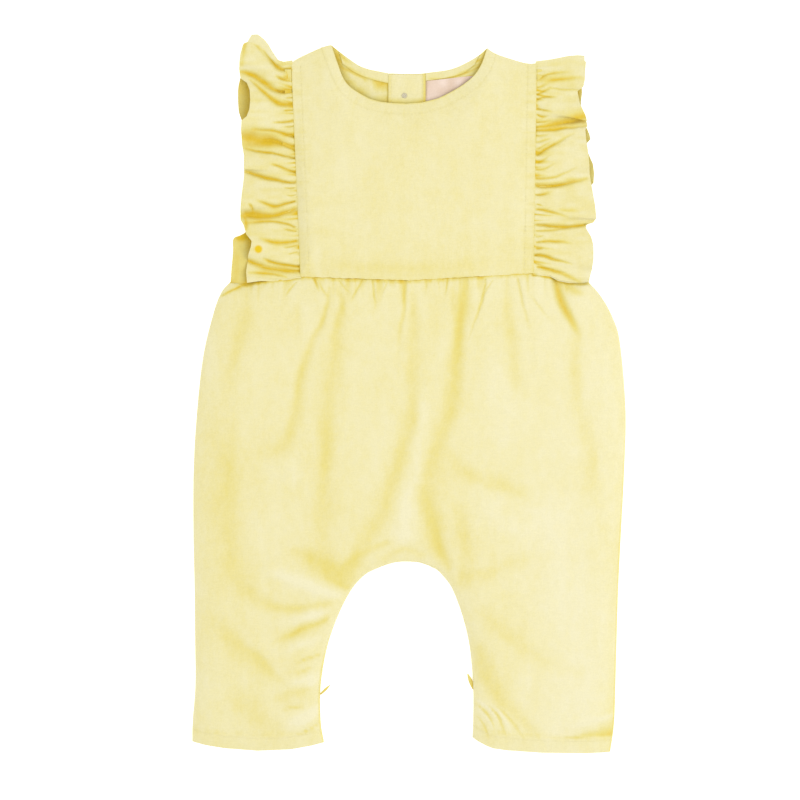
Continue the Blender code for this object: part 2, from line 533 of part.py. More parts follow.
def add_ruffles(material, collection):
    sides = (
        ("ruffle_left", RUFFLE_LEFT, LEFT_SEAM, EDGE_LEFT, TOP_LEFT),
        ("ruffle_right", RUFFLE_RIGHT, RIGHT_SEAM, EDGE_RIGHT, TOP_RIGHT),
    )
    for name, rows, seam, edge, top in sides:
        points = ruffle_points(rows, seam, RUFFLE_CELLS_ACROSS, edge, top)
        sheet_object(name, points, RUFFLE_WALL, material, collection, folded=True)


def add_back_fastening(cloth, metal, collection):
    placket = strip_points(
        PLACKET_LEFT, PLACKET_RIGHT, PLACKET_BOTTOM, PLACKET_TOP, SECOND_LAYER, (2, 8)
    )
    sheet_object("back_placket", placket, WALL, cloth, collection)
    for number, y in enumerate(SNAP_YS, start=1):
        z = THIRD_LAYER + SNAP_HEIGHT / 2
        bpy.ops.mesh.primitive_cylinder_add(
            vertices=20,
            radius=SNAP_RADIUS * MM,
            depth=SNAP_HEIGHT * MM,
            location=(SNAP_X * MM, y * MM, z * MM),
        )
        snap = bpy.context.object
        snap.name = f"back_snap_{number}"
        snap.data.materials.append(metal)
        for owner in list(snap.users_collection):
            owner.objects.unlink(snap)
        collection.objects.link(snap)


def add_label(material, collection):
    points = strip_points(
        LABEL_X, LABEL_X + LABEL_WIDTH, LABEL_TOP - LABEL_DEPTH, LABEL_TOP,
        SECOND_LAYER, (3, 2), LABEL_SLANT,
    )
    sheet_object("neck_label", points, LABEL_WALL, material, collection)


def add_tabs(material, collection):
    for tab in TABS:
        dx, dy = tab.tip_x - tab.root_x, tab.tip_y - tab.root_y
        length = (dx * dx + dy * dy) ** 0.5
        across_x, across_y = -dy / length * tab.width / 2, dx / length * tab.width / 2
        corners = [
            [(tab.root_x - across_x, tab.root_y - across_y, FLOOR_LAYER),
             (tab.root_x + across_x, tab.root_y + across_y, FLOOR_LAYER)],
            [(tab.tip_x - across_x, tab.tip_y - across_y, FLOOR_LAYER),
             (tab.tip_x + across_x, tab.tip_y + across_y, FLOOR_LAYER)],
        ]
        sheet_object(tab.name, np.array(corners), TAB_WALL, material, collection)


def build():
    clear_scene()
    collection = bpy.data.collections.new("ruffle_overalls")
    bpy.context.scene.collection.children.link(collection)
    cloth = cloth_material("yellow_cloth", CLOTH, 0.9)
    label = cloth_material("pink_label", LABEL_PINK, 0.8)
    snap = cloth_material("snap_grey", SNAP_GREY, 0.45)
    add_trousers(cloth, collection)
    add_yokes(cloth, collection)
    add_side_panels(cloth, collection)
    add_ruffles(cloth, collection)
    add_back_fastening(cloth, snap, collection)
    add_label(label, collection)
    add_tabs(cloth, collection)


build()
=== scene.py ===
"""Looks of the ruffle overalls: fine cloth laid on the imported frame, seams and fastenings.

Lengths are in millimetres until a mesh is made. +Y runs to the neck, +Z is up.
"""
import math
from collections import namedtuple

import bmesh
import bpy
import numpy as np
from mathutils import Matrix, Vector
from mathutils.bvhtree import BVHTree


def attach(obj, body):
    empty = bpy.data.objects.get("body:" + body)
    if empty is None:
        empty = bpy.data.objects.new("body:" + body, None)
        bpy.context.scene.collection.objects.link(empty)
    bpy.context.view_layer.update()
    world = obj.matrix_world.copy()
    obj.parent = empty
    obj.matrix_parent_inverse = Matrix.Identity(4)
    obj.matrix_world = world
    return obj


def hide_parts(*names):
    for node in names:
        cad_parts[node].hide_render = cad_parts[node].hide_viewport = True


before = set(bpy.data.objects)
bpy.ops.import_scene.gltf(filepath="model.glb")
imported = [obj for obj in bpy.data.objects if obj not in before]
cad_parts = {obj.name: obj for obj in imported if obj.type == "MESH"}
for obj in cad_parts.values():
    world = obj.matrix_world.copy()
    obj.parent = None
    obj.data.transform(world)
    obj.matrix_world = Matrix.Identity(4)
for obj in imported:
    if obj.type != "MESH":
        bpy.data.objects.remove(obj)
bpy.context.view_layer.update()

MM = 0.001

# ---------------------------------------------------------------- sizes of the frame
CAD_WALL = 1.2
CLOTH = 0.45                    # thickness of the shown cloth
MIDDLE = CAD_WALL / 2           # from a solid's underside to the middle of its cloth
GAP = 0.3
SECOND_LAYER = CAD_WALL + GAP
THIRD_LAYER = 2 * (CAD_WALL + GAP)
FOURTH_LAYER = 3 * (CAD_WALL + GAP)

SIDE_Z = 0.45                   # a side seam lies on the back
CROWN_Z = 8.6
SEAM_Z = FOURTH_LAYER
NECK_Z = 2.8
Section = namedtuple(
    "Section", "name inner_x inner_y outer_x outer_y cells sharp inner_z crown_z outer_z bow",
    defaults=(0, SIDE_Z, CROWN_Z, SIDE_Z, 0.0),
)
Fold = namedtuple(
    "Fold", "name x1 y1 x2 y2 x3 y3 left_width right_width height start end shade"
)
# A crease lists x, y, left width, right width, height, painted shade along its line.
Crease = namedtuple("Crease", "name stations")
Ruff = namedtuple("Ruff", "name seam_y seam_z edge_x edge_y edge_z rise lap cells")
SeamLine = namedtuple("SeamLine", "top_x top_y waist_x waist_y way")
LEFT_SEAM = SeamLine(-82.5, 232.0, -76.0, 82.2, -1.0)
RIGHT_SEAM = SeamLine(89.6, 232.0, 87.2, 84.8, 1.0)
WAIST_LEFT_Y, WAIST_Y, WAIST_RIGHT_Y = 81.7, 79.1, 84.2
WAIST_GAP = 0.35
LEFT_CORNER = (-125.3, 78.6)
RIGHT_CORNER = (126.0, 78.4)
TUCK = 1.1                      # how far the trousers run under the yoke
YOKE_MIDDLE, YOKE_HALF = 5.6, 82.0
WALL_TURNED = 0.5               # thickness shown where an edge is turned under
BACK_Z = 0.3                    # middle of the cloth that lies on the ground


def seam_x(seam, y):
    """Where a ruffle seam is at a height along the garment."""
    share = (seam.top_y - y) / (seam.top_y - seam.waist_y)
    return seam.top_x + (seam.waist_x - seam.top_x) * share


def on_seam(name, inner_x, inner_y, seam, outer_y, cells, **rest):
    """A section whose outer end lies on a ruffle seam."""
    return Section(name, inner_x, inner_y, seam_x(seam, outer_y), outer_y, cells, **rest)


def fold_table(*rows):
    """Folds from rows that hold the fields of a Fold in their order."""
    return [Fold(*row) for row in rows]


def bell(away, width):
    """1 on a line, falling smoothly to nothing over about twice the width."""
    return np.exp(-((away / width) ** 2))


def unit(value):
    return np.clip(value, 0.0, 1.0)


def deepened(painted_shade, more, most=0.9):
    """Painted shade with more painted shade laid over it."""
    return 1.0 - (1.0 - painted_shade) * (1.0 - np.clip(more, 0.0, most))


ROLL_SHARE = 0.22               # share of a section's length in which it rises to its crown
INNER_CROWD, OUTER_CROWD = 0.05, 0.08

# Front trousers, from the left hem over the waist to the right hem
TROUSER_FRONT = [
    Section("left_hem", -59.6, -244.2, -152.1, -243.4, 10, crown_z=6.6),
    Section("left_hem_top", -61.9, -230, -151.7, -229, 13),
    Section("left_calf", -62, -205, -149.8, -203, 15),
    Section("left_knee", -57.5, -178, -150.1, -170, 15),
    Section("left_thigh", -49.5, -155, -150.4, -137, 17),
    Section("left_seat", -40.5, -137.5, -151.2, -100, 18),
    Section("left_hip", -31, -127, -151.2, -58, 18),
    Section("left_side", -22, -122.3, -149.3, -20, 18),
    Section("left_flare", -15, -119.6, -144.6, 25, 16),
    Section("left_high", -13.2, -119.1, -137.2, 56.5, 9),
    Section("left_bend", -11.2, -118.5, -131.6, 71.4, 6),
    Section("left_corner", -9.5, -118.2, *LEFT_CORNER, 9, sharp=1),
    Section("left_dip", -8, -118, -115.5, 76.6, 12, outer_z=1.8),
    Section("left_rise", -6.4, -117.8, -102.5, 79.2, 28, outer_z=2.8),
    Section("left_yoke", -4.8, -117.6, -76, WAIST_LEFT_Y, 44, sharp=1, outer_z=4.2),
    Section("waist_left", -2.2, -117.6, -38, 80.4, 44, sharp=1, outer_z=7),
    Section("centre", 0.6, -117.6, 0, WAIST_Y, 50, sharp=1, outer_z=7.4),
    Section("waist_right", 3.4, -117.8, 43.6, 81.65, 50, sharp=1, outer_z=7),
    Section("right_yoke", 6.8, -118.2, 87.2, WAIST_RIGHT_Y, 14, sharp=1, outer_z=4.2),
    Section("right_pleat", 8.2, -118.6, 100.5, 82.2, 12, outer_z=3.2),
    Section("right_dip", 9.6, -119, 113, 78.2, 12, outer_z=2.2),
    Section("right_corner", 11.2, -119.5, *RIGHT_CORNER, 8, sharp=1),
    Section("right_bend", 12.6, -120, 134.2, 69.3, 9),
    Section("right_high", 14, -120.6, 142.5, 54.6, 8),
    Section("right_flare", 15.5, -121.3, 148, 36, 20),
    Section("right_side", 19.8, -123.6, 152, -12, 18),
    Section("right_hip", 25, -129, 150.8, -58, 18),
    Section("right_seat", 30.5, -137, 148.6, -100, 16),
    Section("right_thigh", 37.3, -155, 146.8, -137, 15),
    Section("right_knee", 42.5, -177, 145.8, -170, 15),
    Section("right_calf", 45, -205, 144.9, -203, 13),
    Section("right_hem_top", 45, -229, 143.9, -231, 11),
    Section("right_hem", 44.5, -240.8, 141.2, -250.8, 2, crown_z=6.6),
]
# How far each hem hangs below a straight line, as (share from the inner seam, drop)
HEM_LEFT = [(0, 0), (0.1, -2.1), (0.25, -4.6), (0.5, -5.8), (0.75, -4.2), (0.9, -2.1), (1, 0)]
HEM_RIGHT = [(0, 0), (0.05, -2.4), (0.1, -4.4), (0.15, -5.7), (0.25, -6.0), (0.5, -5.2), (0.8, -2.6), (1, 0)]
HEM_REACH = 9.0
TROUSER_ACROSS = 150
BACK_ACROSS = 40

# Front yoke, from the left shoulder under the neck to the right shoulder
YOKE_FRONT = [
    on_seam("left_shoulder", -54.3, 244.8, LEFT_SEAM, 232, 40, crown_z=1.4, outer_z=1.6, bow=-1.3),
    on_seam("left_strap", -50.3, 232.6, LEFT_SEAM, 208, 58, inner_z=2.4, crown_z=4.2, outer_z=SEAM_Z - 0.5),
    on_seam("left_armhole", -45.9, 221.2, LEFT_SEAM, 173, 58, inner_z=3.2, crown_z=6.4, outer_z=SEAM_Z),
    on_seam("left_chest", -39.8, 214.2, LEFT_SEAM, 138, 53, inner_z=NECK_Z, crown_z=7.8, outer_z=SEAM_Z),
    on_seam("left_side", -28.4, 207.4, LEFT_SEAM, 106, 40, inner_z=NECK_Z, outer_z=SEAM_Z),
    on_seam(
        "left_corner", -20, 204.9, LEFT_SEAM, WAIST_LEFT_Y + WAIST_GAP,
        30, sharp=1, inner_z=NECK_Z, outer_z=SEAM_Z,
    ),
    Section("waist_left", -11, 203.8, -38, 80.75, 30, sharp=1, inner_z=NECK_Z, outer_z=7.6),
    Section("centre", -1.3, 203.6, 0, WAIST_Y + WAIST_GAP, 34, sharp=1, inner_z=NECK_Z, outer_z=8),
    Section("waist_right", 9, 204.3, 43.6, 82, 34, sharp=1, inner_z=NECK_Z, outer_z=7.6),
    on_seam(
        "right_corner", 20.5, 207.2, RIGHT_SEAM, WAIST_RIGHT_Y + WAIST_GAP,
        38, sharp=1, inner_z=NECK_Z, outer_z=SEAM_Z,
    ),
    on_seam("right_side", 30, 212, RIGHT_SEAM, 108, 53, inner_z=NECK_Z, outer_z=SEAM_Z),
    on_seam("right_chest", 38.2, 217, RIGHT_SEAM, 140, 58, inner_z=NECK_Z, crown_z=7.8, outer_z=SEAM_Z),
    on_seam("right_armhole", 45.9, 223.6, RIGHT_SEAM, 175, 55, inner_z=3.2, crown_z=6.4, outer_z=SEAM_Z),
    on_seam("right_strap", 51.1, 232, RIGHT_SEAM, 208, 40, inner_z=2.4, crown_z=4.2, outer_z=SEAM_Z - 0.5),
    on_seam("right_shoulder", 54.8, 242.9, RIGHT_SEAM, 232, 2, crown_z=1.4, outer_z=1.6, bow=-2.6),
]
YOKE_ACROSS = 90

PLACKET_LEFT, PLACKET_RIGHT = -14.0, 11.2
BACK_LEFT = [
    on_seam("waist", PLACKET_LEFT - GAP, 79.8, LEFT_SEAM, 82.2, 14),
    on_seam("chest", PLACKET_LEFT - GAP, 140, LEFT_SEAM, 138, 12),
    on_seam("armhole", PLACKET_LEFT - GAP, 190, LEFT_SEAM, 185, 10),
    on_seam("neck_corner", PLACKET_LEFT - GAP, 224.9, LEFT_SEAM, 210, 8, sharp=1),
    on_seam("neck_side", -31.9, 229.1, LEFT_SEAM, 221, 8),
    on_seam("neck_rise", -43.3, 236.1, LEFT_SEAM, 227, 8),
    on_seam("shoulder", -54.3, 244.6, LEFT_SEAM, 232, 2, bow=-1),
]
BACK_RIGHT = [
    on_seam("waist", PLACKET_LEFT, 79.8, RIGHT_SEAM, 84.8, 14),
    on_seam("chest", PLACKET_LEFT, 140, RIGHT_SEAM, 140, 12),
    on_seam("armhole", PLACKET_LEFT, 190, RIGHT_SEAM, 185, 10),
    on_seam("neck_corner", PLACKET_LEFT, 224.9, RIGHT_SEAM, 205, 8, sharp=1),
    on_seam("neck_centre", 9.2, 224.9, RIGHT_SEAM, 213, 8),
    on_seam("neck_side", 30, 228.1, RIGHT_SEAM, 221, 6),
    on_seam("neck_rise", 46, 235.6, RIGHT_SEAM, 228, 6),
    on_seam("shoulder", 54.8, 242.6, RIGHT_SEAM, 232, 2, bow=-2.9),
]
FACING_LEFT = [
    Section("at_placket", -14.5, 225, -14.5, 218, 12),
    Section("neck_side", -31.9, 229, -29, 221.6, 10),
    Section("neck_rise", -43.3, 235.9, -39.5, 226.6, 8),
    Section("at_shoulder", -49, 240.2, -46.5, 231.6, 1),
]
FACING_RIGHT = [
    Section("at_placket", PLACKET_RIGHT + 0.6, 225.2, PLACKET_RIGHT + 0.6, 219.8, 12),
    Section("neck_side", 30, 228, 27, 222, 10),
    Section("neck_rise", 46, 235.3, 38.5, 225.4, 8),
    Section("at_shoulder", 49.5, 238.2, 46, 231.2, 1),
]

Panel = namedtuple("Panel", "name down width sunk")
SIDE_PANEL = [
    Panel("shoulder", 0.03, 0.09, 0),
    Panel("armhole_top", 0.30, 0.14, 0),
    Panel("armhole_curve", 0.55, 0.27, 0),
    Panel("armhole_low", 0.70, 0.46, 0.1),
    Panel("underarm", 0.775, 0.70, 0.15),
    Panel("corner_start", 0.802, 0.82, 0.1),
    Panel("corner", 0.820, 0.93, 0.1),
    Panel("side", 0.88, 0.945, 0.3),
    Panel("waist", 1, 1, 1),
]

RUFFLE_LEFT = [
    Ruff("back_waist", 84, 0.5, -112, 87, 0.5, 0, 0, 20),
    Ruff("back_middle", 140, 0.5, -116, 142, 0.5, 0, 0, 20),
    Ruff("back_high", 200, 0.5, -117, 205, 0.5, 0, 0, 12),
    Ruff("back_top", 230, 0.5, -113, 241, 0.5, 0, 0, 12),
    Ruff("over_shoulder", 233.4, 1.7, -110.5, 252, 3, 0, 0, 12),
    Ruff("front_top", 230.5, 2.3, -113, 246, 5, 3.5, 5, 44),
    Ruff("first_valley", 211, 4.2, -118.5, 226, 4.6, 6.5, 9, 72),
    Ruff("big_pocket", 176, 4.7, -117.5, 176.5, 4, 4, 6, 60),
    Ruff("middle_valley", 148, 4.7, -116, 155, 4.6, 4.5, 8, 52),
    Ruff("low_pocket", 127, 4.7, -116.5, 124.5, 5.2, 4.5, 5, 76),
    Ruff("last_valley", 85.6, 4.7, -113.8, 92, 5.2, 1.5, 0, 14),
    Ruff("front_waist", 81.4, 4.6, -113.4, 77.9, 4.6, 0, 0, 0),
]
RUFFLE_RIGHT = [
    Ruff("back_waist", 86, 0.5, 122, 87, 0.5, 0, 0, 20),
    Ruff("back_middle", 140, 0.5, 126, 142, 0.5, 0, 0, 20),
    Ruff("back_high", 200, 0.5, 122, 205, 0.5, 0, 0, 12),
    Ruff("back_top", 229, 0.5, 121, 230, 0.5, 0, 0, 12),
    Ruff("over_shoulder", 232.9, 1.7, 124.4, 236.4, 3, 0, 0, 12),
    Ruff("front_top", 230.5, 2.3, 124.4, 232, 5, 3.5, 3, 44),
    Ruff("first_valley", 214, 4.1, 118.6, 209.5, 4.6, 6.5, 11, 64),
    Ruff("big_pocket", 187, 4.7, 123.8, 193, 4, 5, 9, 76),
    Ruff("middle_valley", 146.5, 4.7, 127.6, 151, 4.8, 5, 10, 64),
    Ruff("low_pocket", 117.2, 4.7, 123.6, 119.5, 5.2, 4.5, 6, 60),
    Ruff("last_valley", 89, 4.7, 126.5, 84, 5.2, 1.5, 0, 14),
    Ruff("front_waist", 83.4, 4.6, 125.8, 78.3, 4.6, 0, 0, 0),
]
RUFFLE_ACROSS = 44
SEAM_RISE = 0.16

# ---------------------------------------------------------------- creases and folds
# Widths are on the left and right of the way a crease or fold runs. Shade is the painted shade
# laid in it, and below 0 it is painted highlight. A fold runs through three points, and start and end
# are the shares of its height that are left at its two ends.
TROUSER_CREASES = [
    Crease("main_pleat", [
        (39, 80, 2.5, 2, -0.6, 0.35), (37, 62, 5, 4.5, -1.1, 0.55), (35, 44, 5, 4.5, -1.1, 0.5),
        (32, 12, 5, 6.5, -0.9, 0.35), (29, -10, 6, 7, -0.9, 0.35), (23, -28, 6, 6.5, -0.8, 0.3),
        (14, -55, 7, 6.5, -0.6, 0.25), (12, -72, 7.5, 7, -0.8, 0.35), (16, -88, 6.5, 7, -1.1, 0.45),
        (20, -105, 5, 6, -1.2, 0.55), (27, -122, 3, 3, -0.6, 0.3),
    ]),
    Crease("left_crease", [
        (-55, 74, 1.5, 1.5, -0.3, 0.2), (-60, 55, 2, 2, -0.8, 0.4), (-68, 37, 3, 2.5, -0.8, 0.3),
        (-76, 12, 4, 3, -0.7, 0.3), (-79, -6, 5, 3, -0.6, 0.25), (-84, -25, 6, 3, -0.5, 0.25),
        (-91, -38, 5, 4, -0.4, 0.2), (-107, -41, 4, 5, -0.2, 0.05),
    ]),
    Crease("left_trough", [
        (-50, 76, 3, 2, -0.3, 0.1), (-47, 63, 2.5, 2.5, -0.6, 0.35), (-51, 44, 5.5, 4, -0.7, 0.35),
        (-52, 20, 6, 5.5, -0.6, 0.25), (-57, -12, 7, 6, -0.4, 0.2), (-59, -50, 5, 5, -0.6, 0.3),
        (-60, -78, 6, 6, -0.5, 0.25), (-60, -107, 7.5, 5, -0.3, 0.15),
    ]),
    Crease("centre_line", [
        (-2, 80, 1, 1, -0.4, 0.4), (-3, 70, 1.5, 1.5, -0.7, 0.55), (-4, 56, 1.5, 2, -0.5, 0.4),
        (-6, 44, 2, 1.5, -0.4, 0.25), (-7, 27, 2, 2, -0.2, 0.1),
    ]),
    Crease("centre_soft", [
        (2, 70, 3, 2, -0.3, 0.15), (2, 52, 5, 3, -0.6, 0.3), (2, 26, 6.5, 4.5, -0.4, 0.2),
        (4, 0, 5.5, 8, -0.4, 0.2), (-2, -30, 5, 7, -0.6, 0.3), (-11, -60, 6, 6, -0.6, 0.3),
        (-20, -85, 7, 7, -0.5, 0.25), (-31, -102, 6, 5.5, -0.7, 0.25), (-41, -118, 5.5, 4, -0.8, 0.25),
    ]),
    Crease("right_soft", [
        (68, 77, 3, 3, -0.2, 0.1), (69, 50, 5, 4, -0.5, 0.25), (73, 26, 5, 6, -0.4, 0.2),
        (74, 6, 4, 5, -0.2, 0.1),
    ]),
    Crease("hip_pleat", [
        (101, 83, 2, 1.5, -1.8, 0.9), (104, 71, 3, 3, -2.5, 0.95), (109, 60, 3.5, 3, -2.4, 0.95),
        (115, 48, 3, 2.5, -1.5, 0.55), (118, 41, 3, 3, -0.8, 0.25), (116, 28, 5, 4.5, -0.3, 0.2),
        (117, 0, 5, 5, -0.3, 0.2), (124, -27, 5.5, 5.5, -0.4, 0.2), (128, -46, 4.5, 5, -0.4, 0.2),
        (127, -76, 4.5, 4.5, -0.2, 0.05),
    ]),
    Crease("seat_arc", [
        (31, -43, 4, 5, -0.3, 0.1), (38, -54, 5, 4.5, -0.5, 0.2), (52, -61, 6.5, 4.5, -0.6, 0.25),
        (68, -66, 7, 4.5, -0.5, 0.25), (86, -76, 7, 5, -0.2, 0.05),
    ]),
    Crease("crotch_soft", [
        (34, -78, 5, 4, -0.2, 0.1), (39, -95, 5, 6, -0.5, 0.25), (40, -112, 6.5, 5, -0.5, 0.25),
        (36, -132, 6, 5, -0.4, 0.2),
    ]),
    Crease("thigh_soft", [
        (40, -128, 5, 5.5, -0.3, 0.15), (55, -125, 5, 5.5, -0.4, 0.2), (72, -118, 5, 5, -0.3, 0.15),
        (102, -112, 4, 5, -0.2, 0.05),
    ]),
    Crease("pocket_top", [
        (-80, -110, 3, 4, -0.4, 0.15), (-68, -115, 7, 8, -1, 0.4), (-55, -122, 9, 10, -1.2, 0.45),
        (-46, -128, 7.5, 7, -1, 0.4),
    ]),
    Crease("pocket_low", [
        (-58, -128, 2.5, 2.5, -0.2, 0.1), (-50, -132, 3, 2, -0.5, 0.25), (-44, -135, 2.5, 2, -0.5, 0.25),
    ]),
    Crease("pocket_line", [
        (-46, -122, 4, 4.5, -0.4, 0.15), (-36, -114, 3.5, 4.5, -0.5, 0.25),
        (-25, -108, 2.5, 3, -0.5, 0.25), (-16, -104, 2, 2, -0.4, 0.25),
    ]),
    Crease("crotch_arc", [
        (-18, -115, 2.5, 2.5, -0.2, 0.1), (-5, -108, 2.5, 2.5, -0.3, 0.2), (11, -113, 2.5, 2.5, -0.2, 0.1),
    ]),
    Crease("pocket_ridge", [
        (-98, -124, 3.5, 3.5, 0.4, -0.1), (-80, -130, 5, 4.5, 0.9, -0.3), (-62, -138, 4.5, 4, 0.9, -0.3),
        (-49, -141, 3.5, 3.5, 0.6, -0.2),
    ]),
    Crease("under_ridge", [
        (-112, -139, 5, 5, -0.3, 0.15), (-98, -147, 4, 4.5, -0.5, 0.25), (-80, -150, 3, 4, -0.5, 0.3),
        (-56, -147, 2.5, 3, -0.4, 0.2),
    ]),
    Crease("left_diagonal", [
        (-138, -156, 5, 5, -0.3, 0.1), (-125, -170, 6, 10, -0.7, 0.25), (-108, -183, 4, 9, -0.8, 0.3),
        (-97, -193, 2.5, 6, -0.6, 0.25), (-88, -202, 1.5, 3, -0.3, 0.1),
    ]),
    Crease("left_side", [
        (-112, 77, 5, 5, -0.3, 0.1), (-115, 52, 6, 6.5, -0.4, 0.25), (-122, 26, 6, 5, -0.4, 0.2),
        (-127, 0, 6.5, 6, -0.3, 0.1), (-127, -50, 9, 8, -0.4, 0.2), (-126, -98, 8, 8, -0.4, 0.15),
        (-115, -136, 6, 6, -0.3, 0.1),
    ]),
    Crease("right_calf", [
        (48, -178, 5, 6, -0.4, 0.2), (55, -198, 9, 7, -0.7, 0.35), (70, -220, 6.5, 4, -0.5, 0.25),
        (90, -238, 3.5, 2.5, -0.3, 0.1),
    ]),
    Crease("right_calf_soft", [
        (50, -151, 5, 5, -0.2, 0.1), (72, -171, 7, 5, -0.3, 0.2), (88, -186, 7, 5.5, -0.3, 0.15),
        (119, -196, 5, 4, -0.2, 0.1),
    ]),
    Crease("knee_ridge", [
        (-92, -160, 4, 4, 0.3, -0.1), (-78, -157, 3, 3.5, 0.5, -0.2), (-62, -152, 2.5, 2.5, 0.5, -0.2),
    ]),
    Crease("seat_light", [
        (46, -47, 7, 6, 0.3, -0.05), (60, -84, 8, 8, 0.4, -0.1), (74, -96, 7, 7, 0.3, -0.1),
    ]),
    Crease("middle_light", [
        (9, 20, 4, 4, 0.2, -0.05), (9, -20, 4.5, 4.5, 0.3, -0.15), (5, -52, 5, 5, 0.3, -0.2),
        (-2, -82, 7, 7, 0.4, -0.25), (-4, -97, 8, 7, 0.3, -0.25),
    ]),
    Crease("left_light", [
        (-98, -52, 6, 6, 0.2, -0.05), (-86, -56, 8, 8, 0.3, -0.15), (-76, -58, 5, 5, 0.2, -0.05),
    ]),
    Crease("left_side_wide", [
        (-143, -2, 8, 8, -0.1, 0.05), (-139, -30, 10, 12, -0.2, 0.1), (-137, -58, 11, 12, -0.2, 0.15),
        (-131, -112, 10, 10, -0.2, 0.1), (-127, -136, 9, 9, -0.2, 0.05),
    ]),
    Crease("calf_light_1", [
        (-92, -181, 4, 4, 0.2, -0.05), (-78, -176, 3.5, 3.5, 0.5, -0.25), (-64, -171, 3, 3, 0.4, -0.15),
    ]),
    Crease("calf_dark", [
        (-92, -214, 4, 4, -0.3, 0.1), (-82, -210, 4, 4, -0.4, 0.2), (-72, -206, 3, 3, -0.3, 0.2),
    ]),
    Crease("calf_light_2", [
        (-86, -204, 4, 4, 0.2, -0.05), (-74, -200, 3, 3.5, 0.5, -0.3), (-64, -197, 2.5, 3, 0.5, -0.2),
    ]),
    Crease("calf_light_3", [
        (-86, -229, 4, 3, 0.3, -0.05), (-74, -225, 3, 3, 0.6, -0.3), (-64, -218, 2.5, 2.5, 0.5, -0.2),
    ]),
    Crease("left_hem_dark", [
        (-118, -214, 7, 7, -0.3, 0.1), (-108, -225, 8, 8, -0.4, 0.2), (-97, -234, 7, 6, -0.4, 0.2),
    ]),
    Crease("right_light", [
        (100, -86, 14, 14, 0.2, -0.1), (112, -150, 14, 14, 0.2, -0.1), (118, -215, 12, 12, 0.2, -0.1),
    ]),
    Crease("right_hem_outer", [
        (109, -240.5, 1, 0.5, -0.3, 0.15), (118, -240, 2, 1, -0.6, 0.4), (128, -239, 4, 1, -0.9, 0.55),
        (136, -238.5, 5.5, 1.5, -1.1, 0.6), (144, -237.5, 6, 1.5, -1.1, 0.6),
    ]),
    Crease("hip_pleat_shadow", [
        (104, 78, 1.5, 2.5, -0.4, 0.5), (111, 74.5, 3.5, 4, -0.6, 0.6), (118, 71.5, 3, 3, -0.4, 0.45),
        (124, 70, 2, 2, -0.2, 0.1),
    ]),
    Crease("under_left_ruffle", [
        (-118, 76.5, 0.7, 0.8, -0.3, 0.7), (-113, 77, 0.7, 1.1, -0.4, 0.9),
        (-101, 79.5, 0.7, 0.9, -0.4, 0.85), (-90, 80.5, 0.6, 0.7, -0.3, 0.7),
        (-77, 81.5, 0.6, 0.6, -0.2, 0.6),
    ]),
    Crease("under_right_ruffle", [
        (87, 84, 0.6, 0.8, -0.3, 0.7), (100, 81, 0.6, 1, -0.4, 0.9), (104.5, 78, 0.6, 1.1, -0.4, 0.9),
        (112, 77, 0.6, 1, -0.4, 0.85), (126, 77.5, 0.6, 1, -0.3, 0.8),
    ]),
    Crease("right_hip_light", [
        (56, 32, 8, 8, 0.1, -0.05), (60, 0, 12, 12, 0.2, -0.1), (68, -34, 12, 12, 0.2, -0.1),
    ]),
]
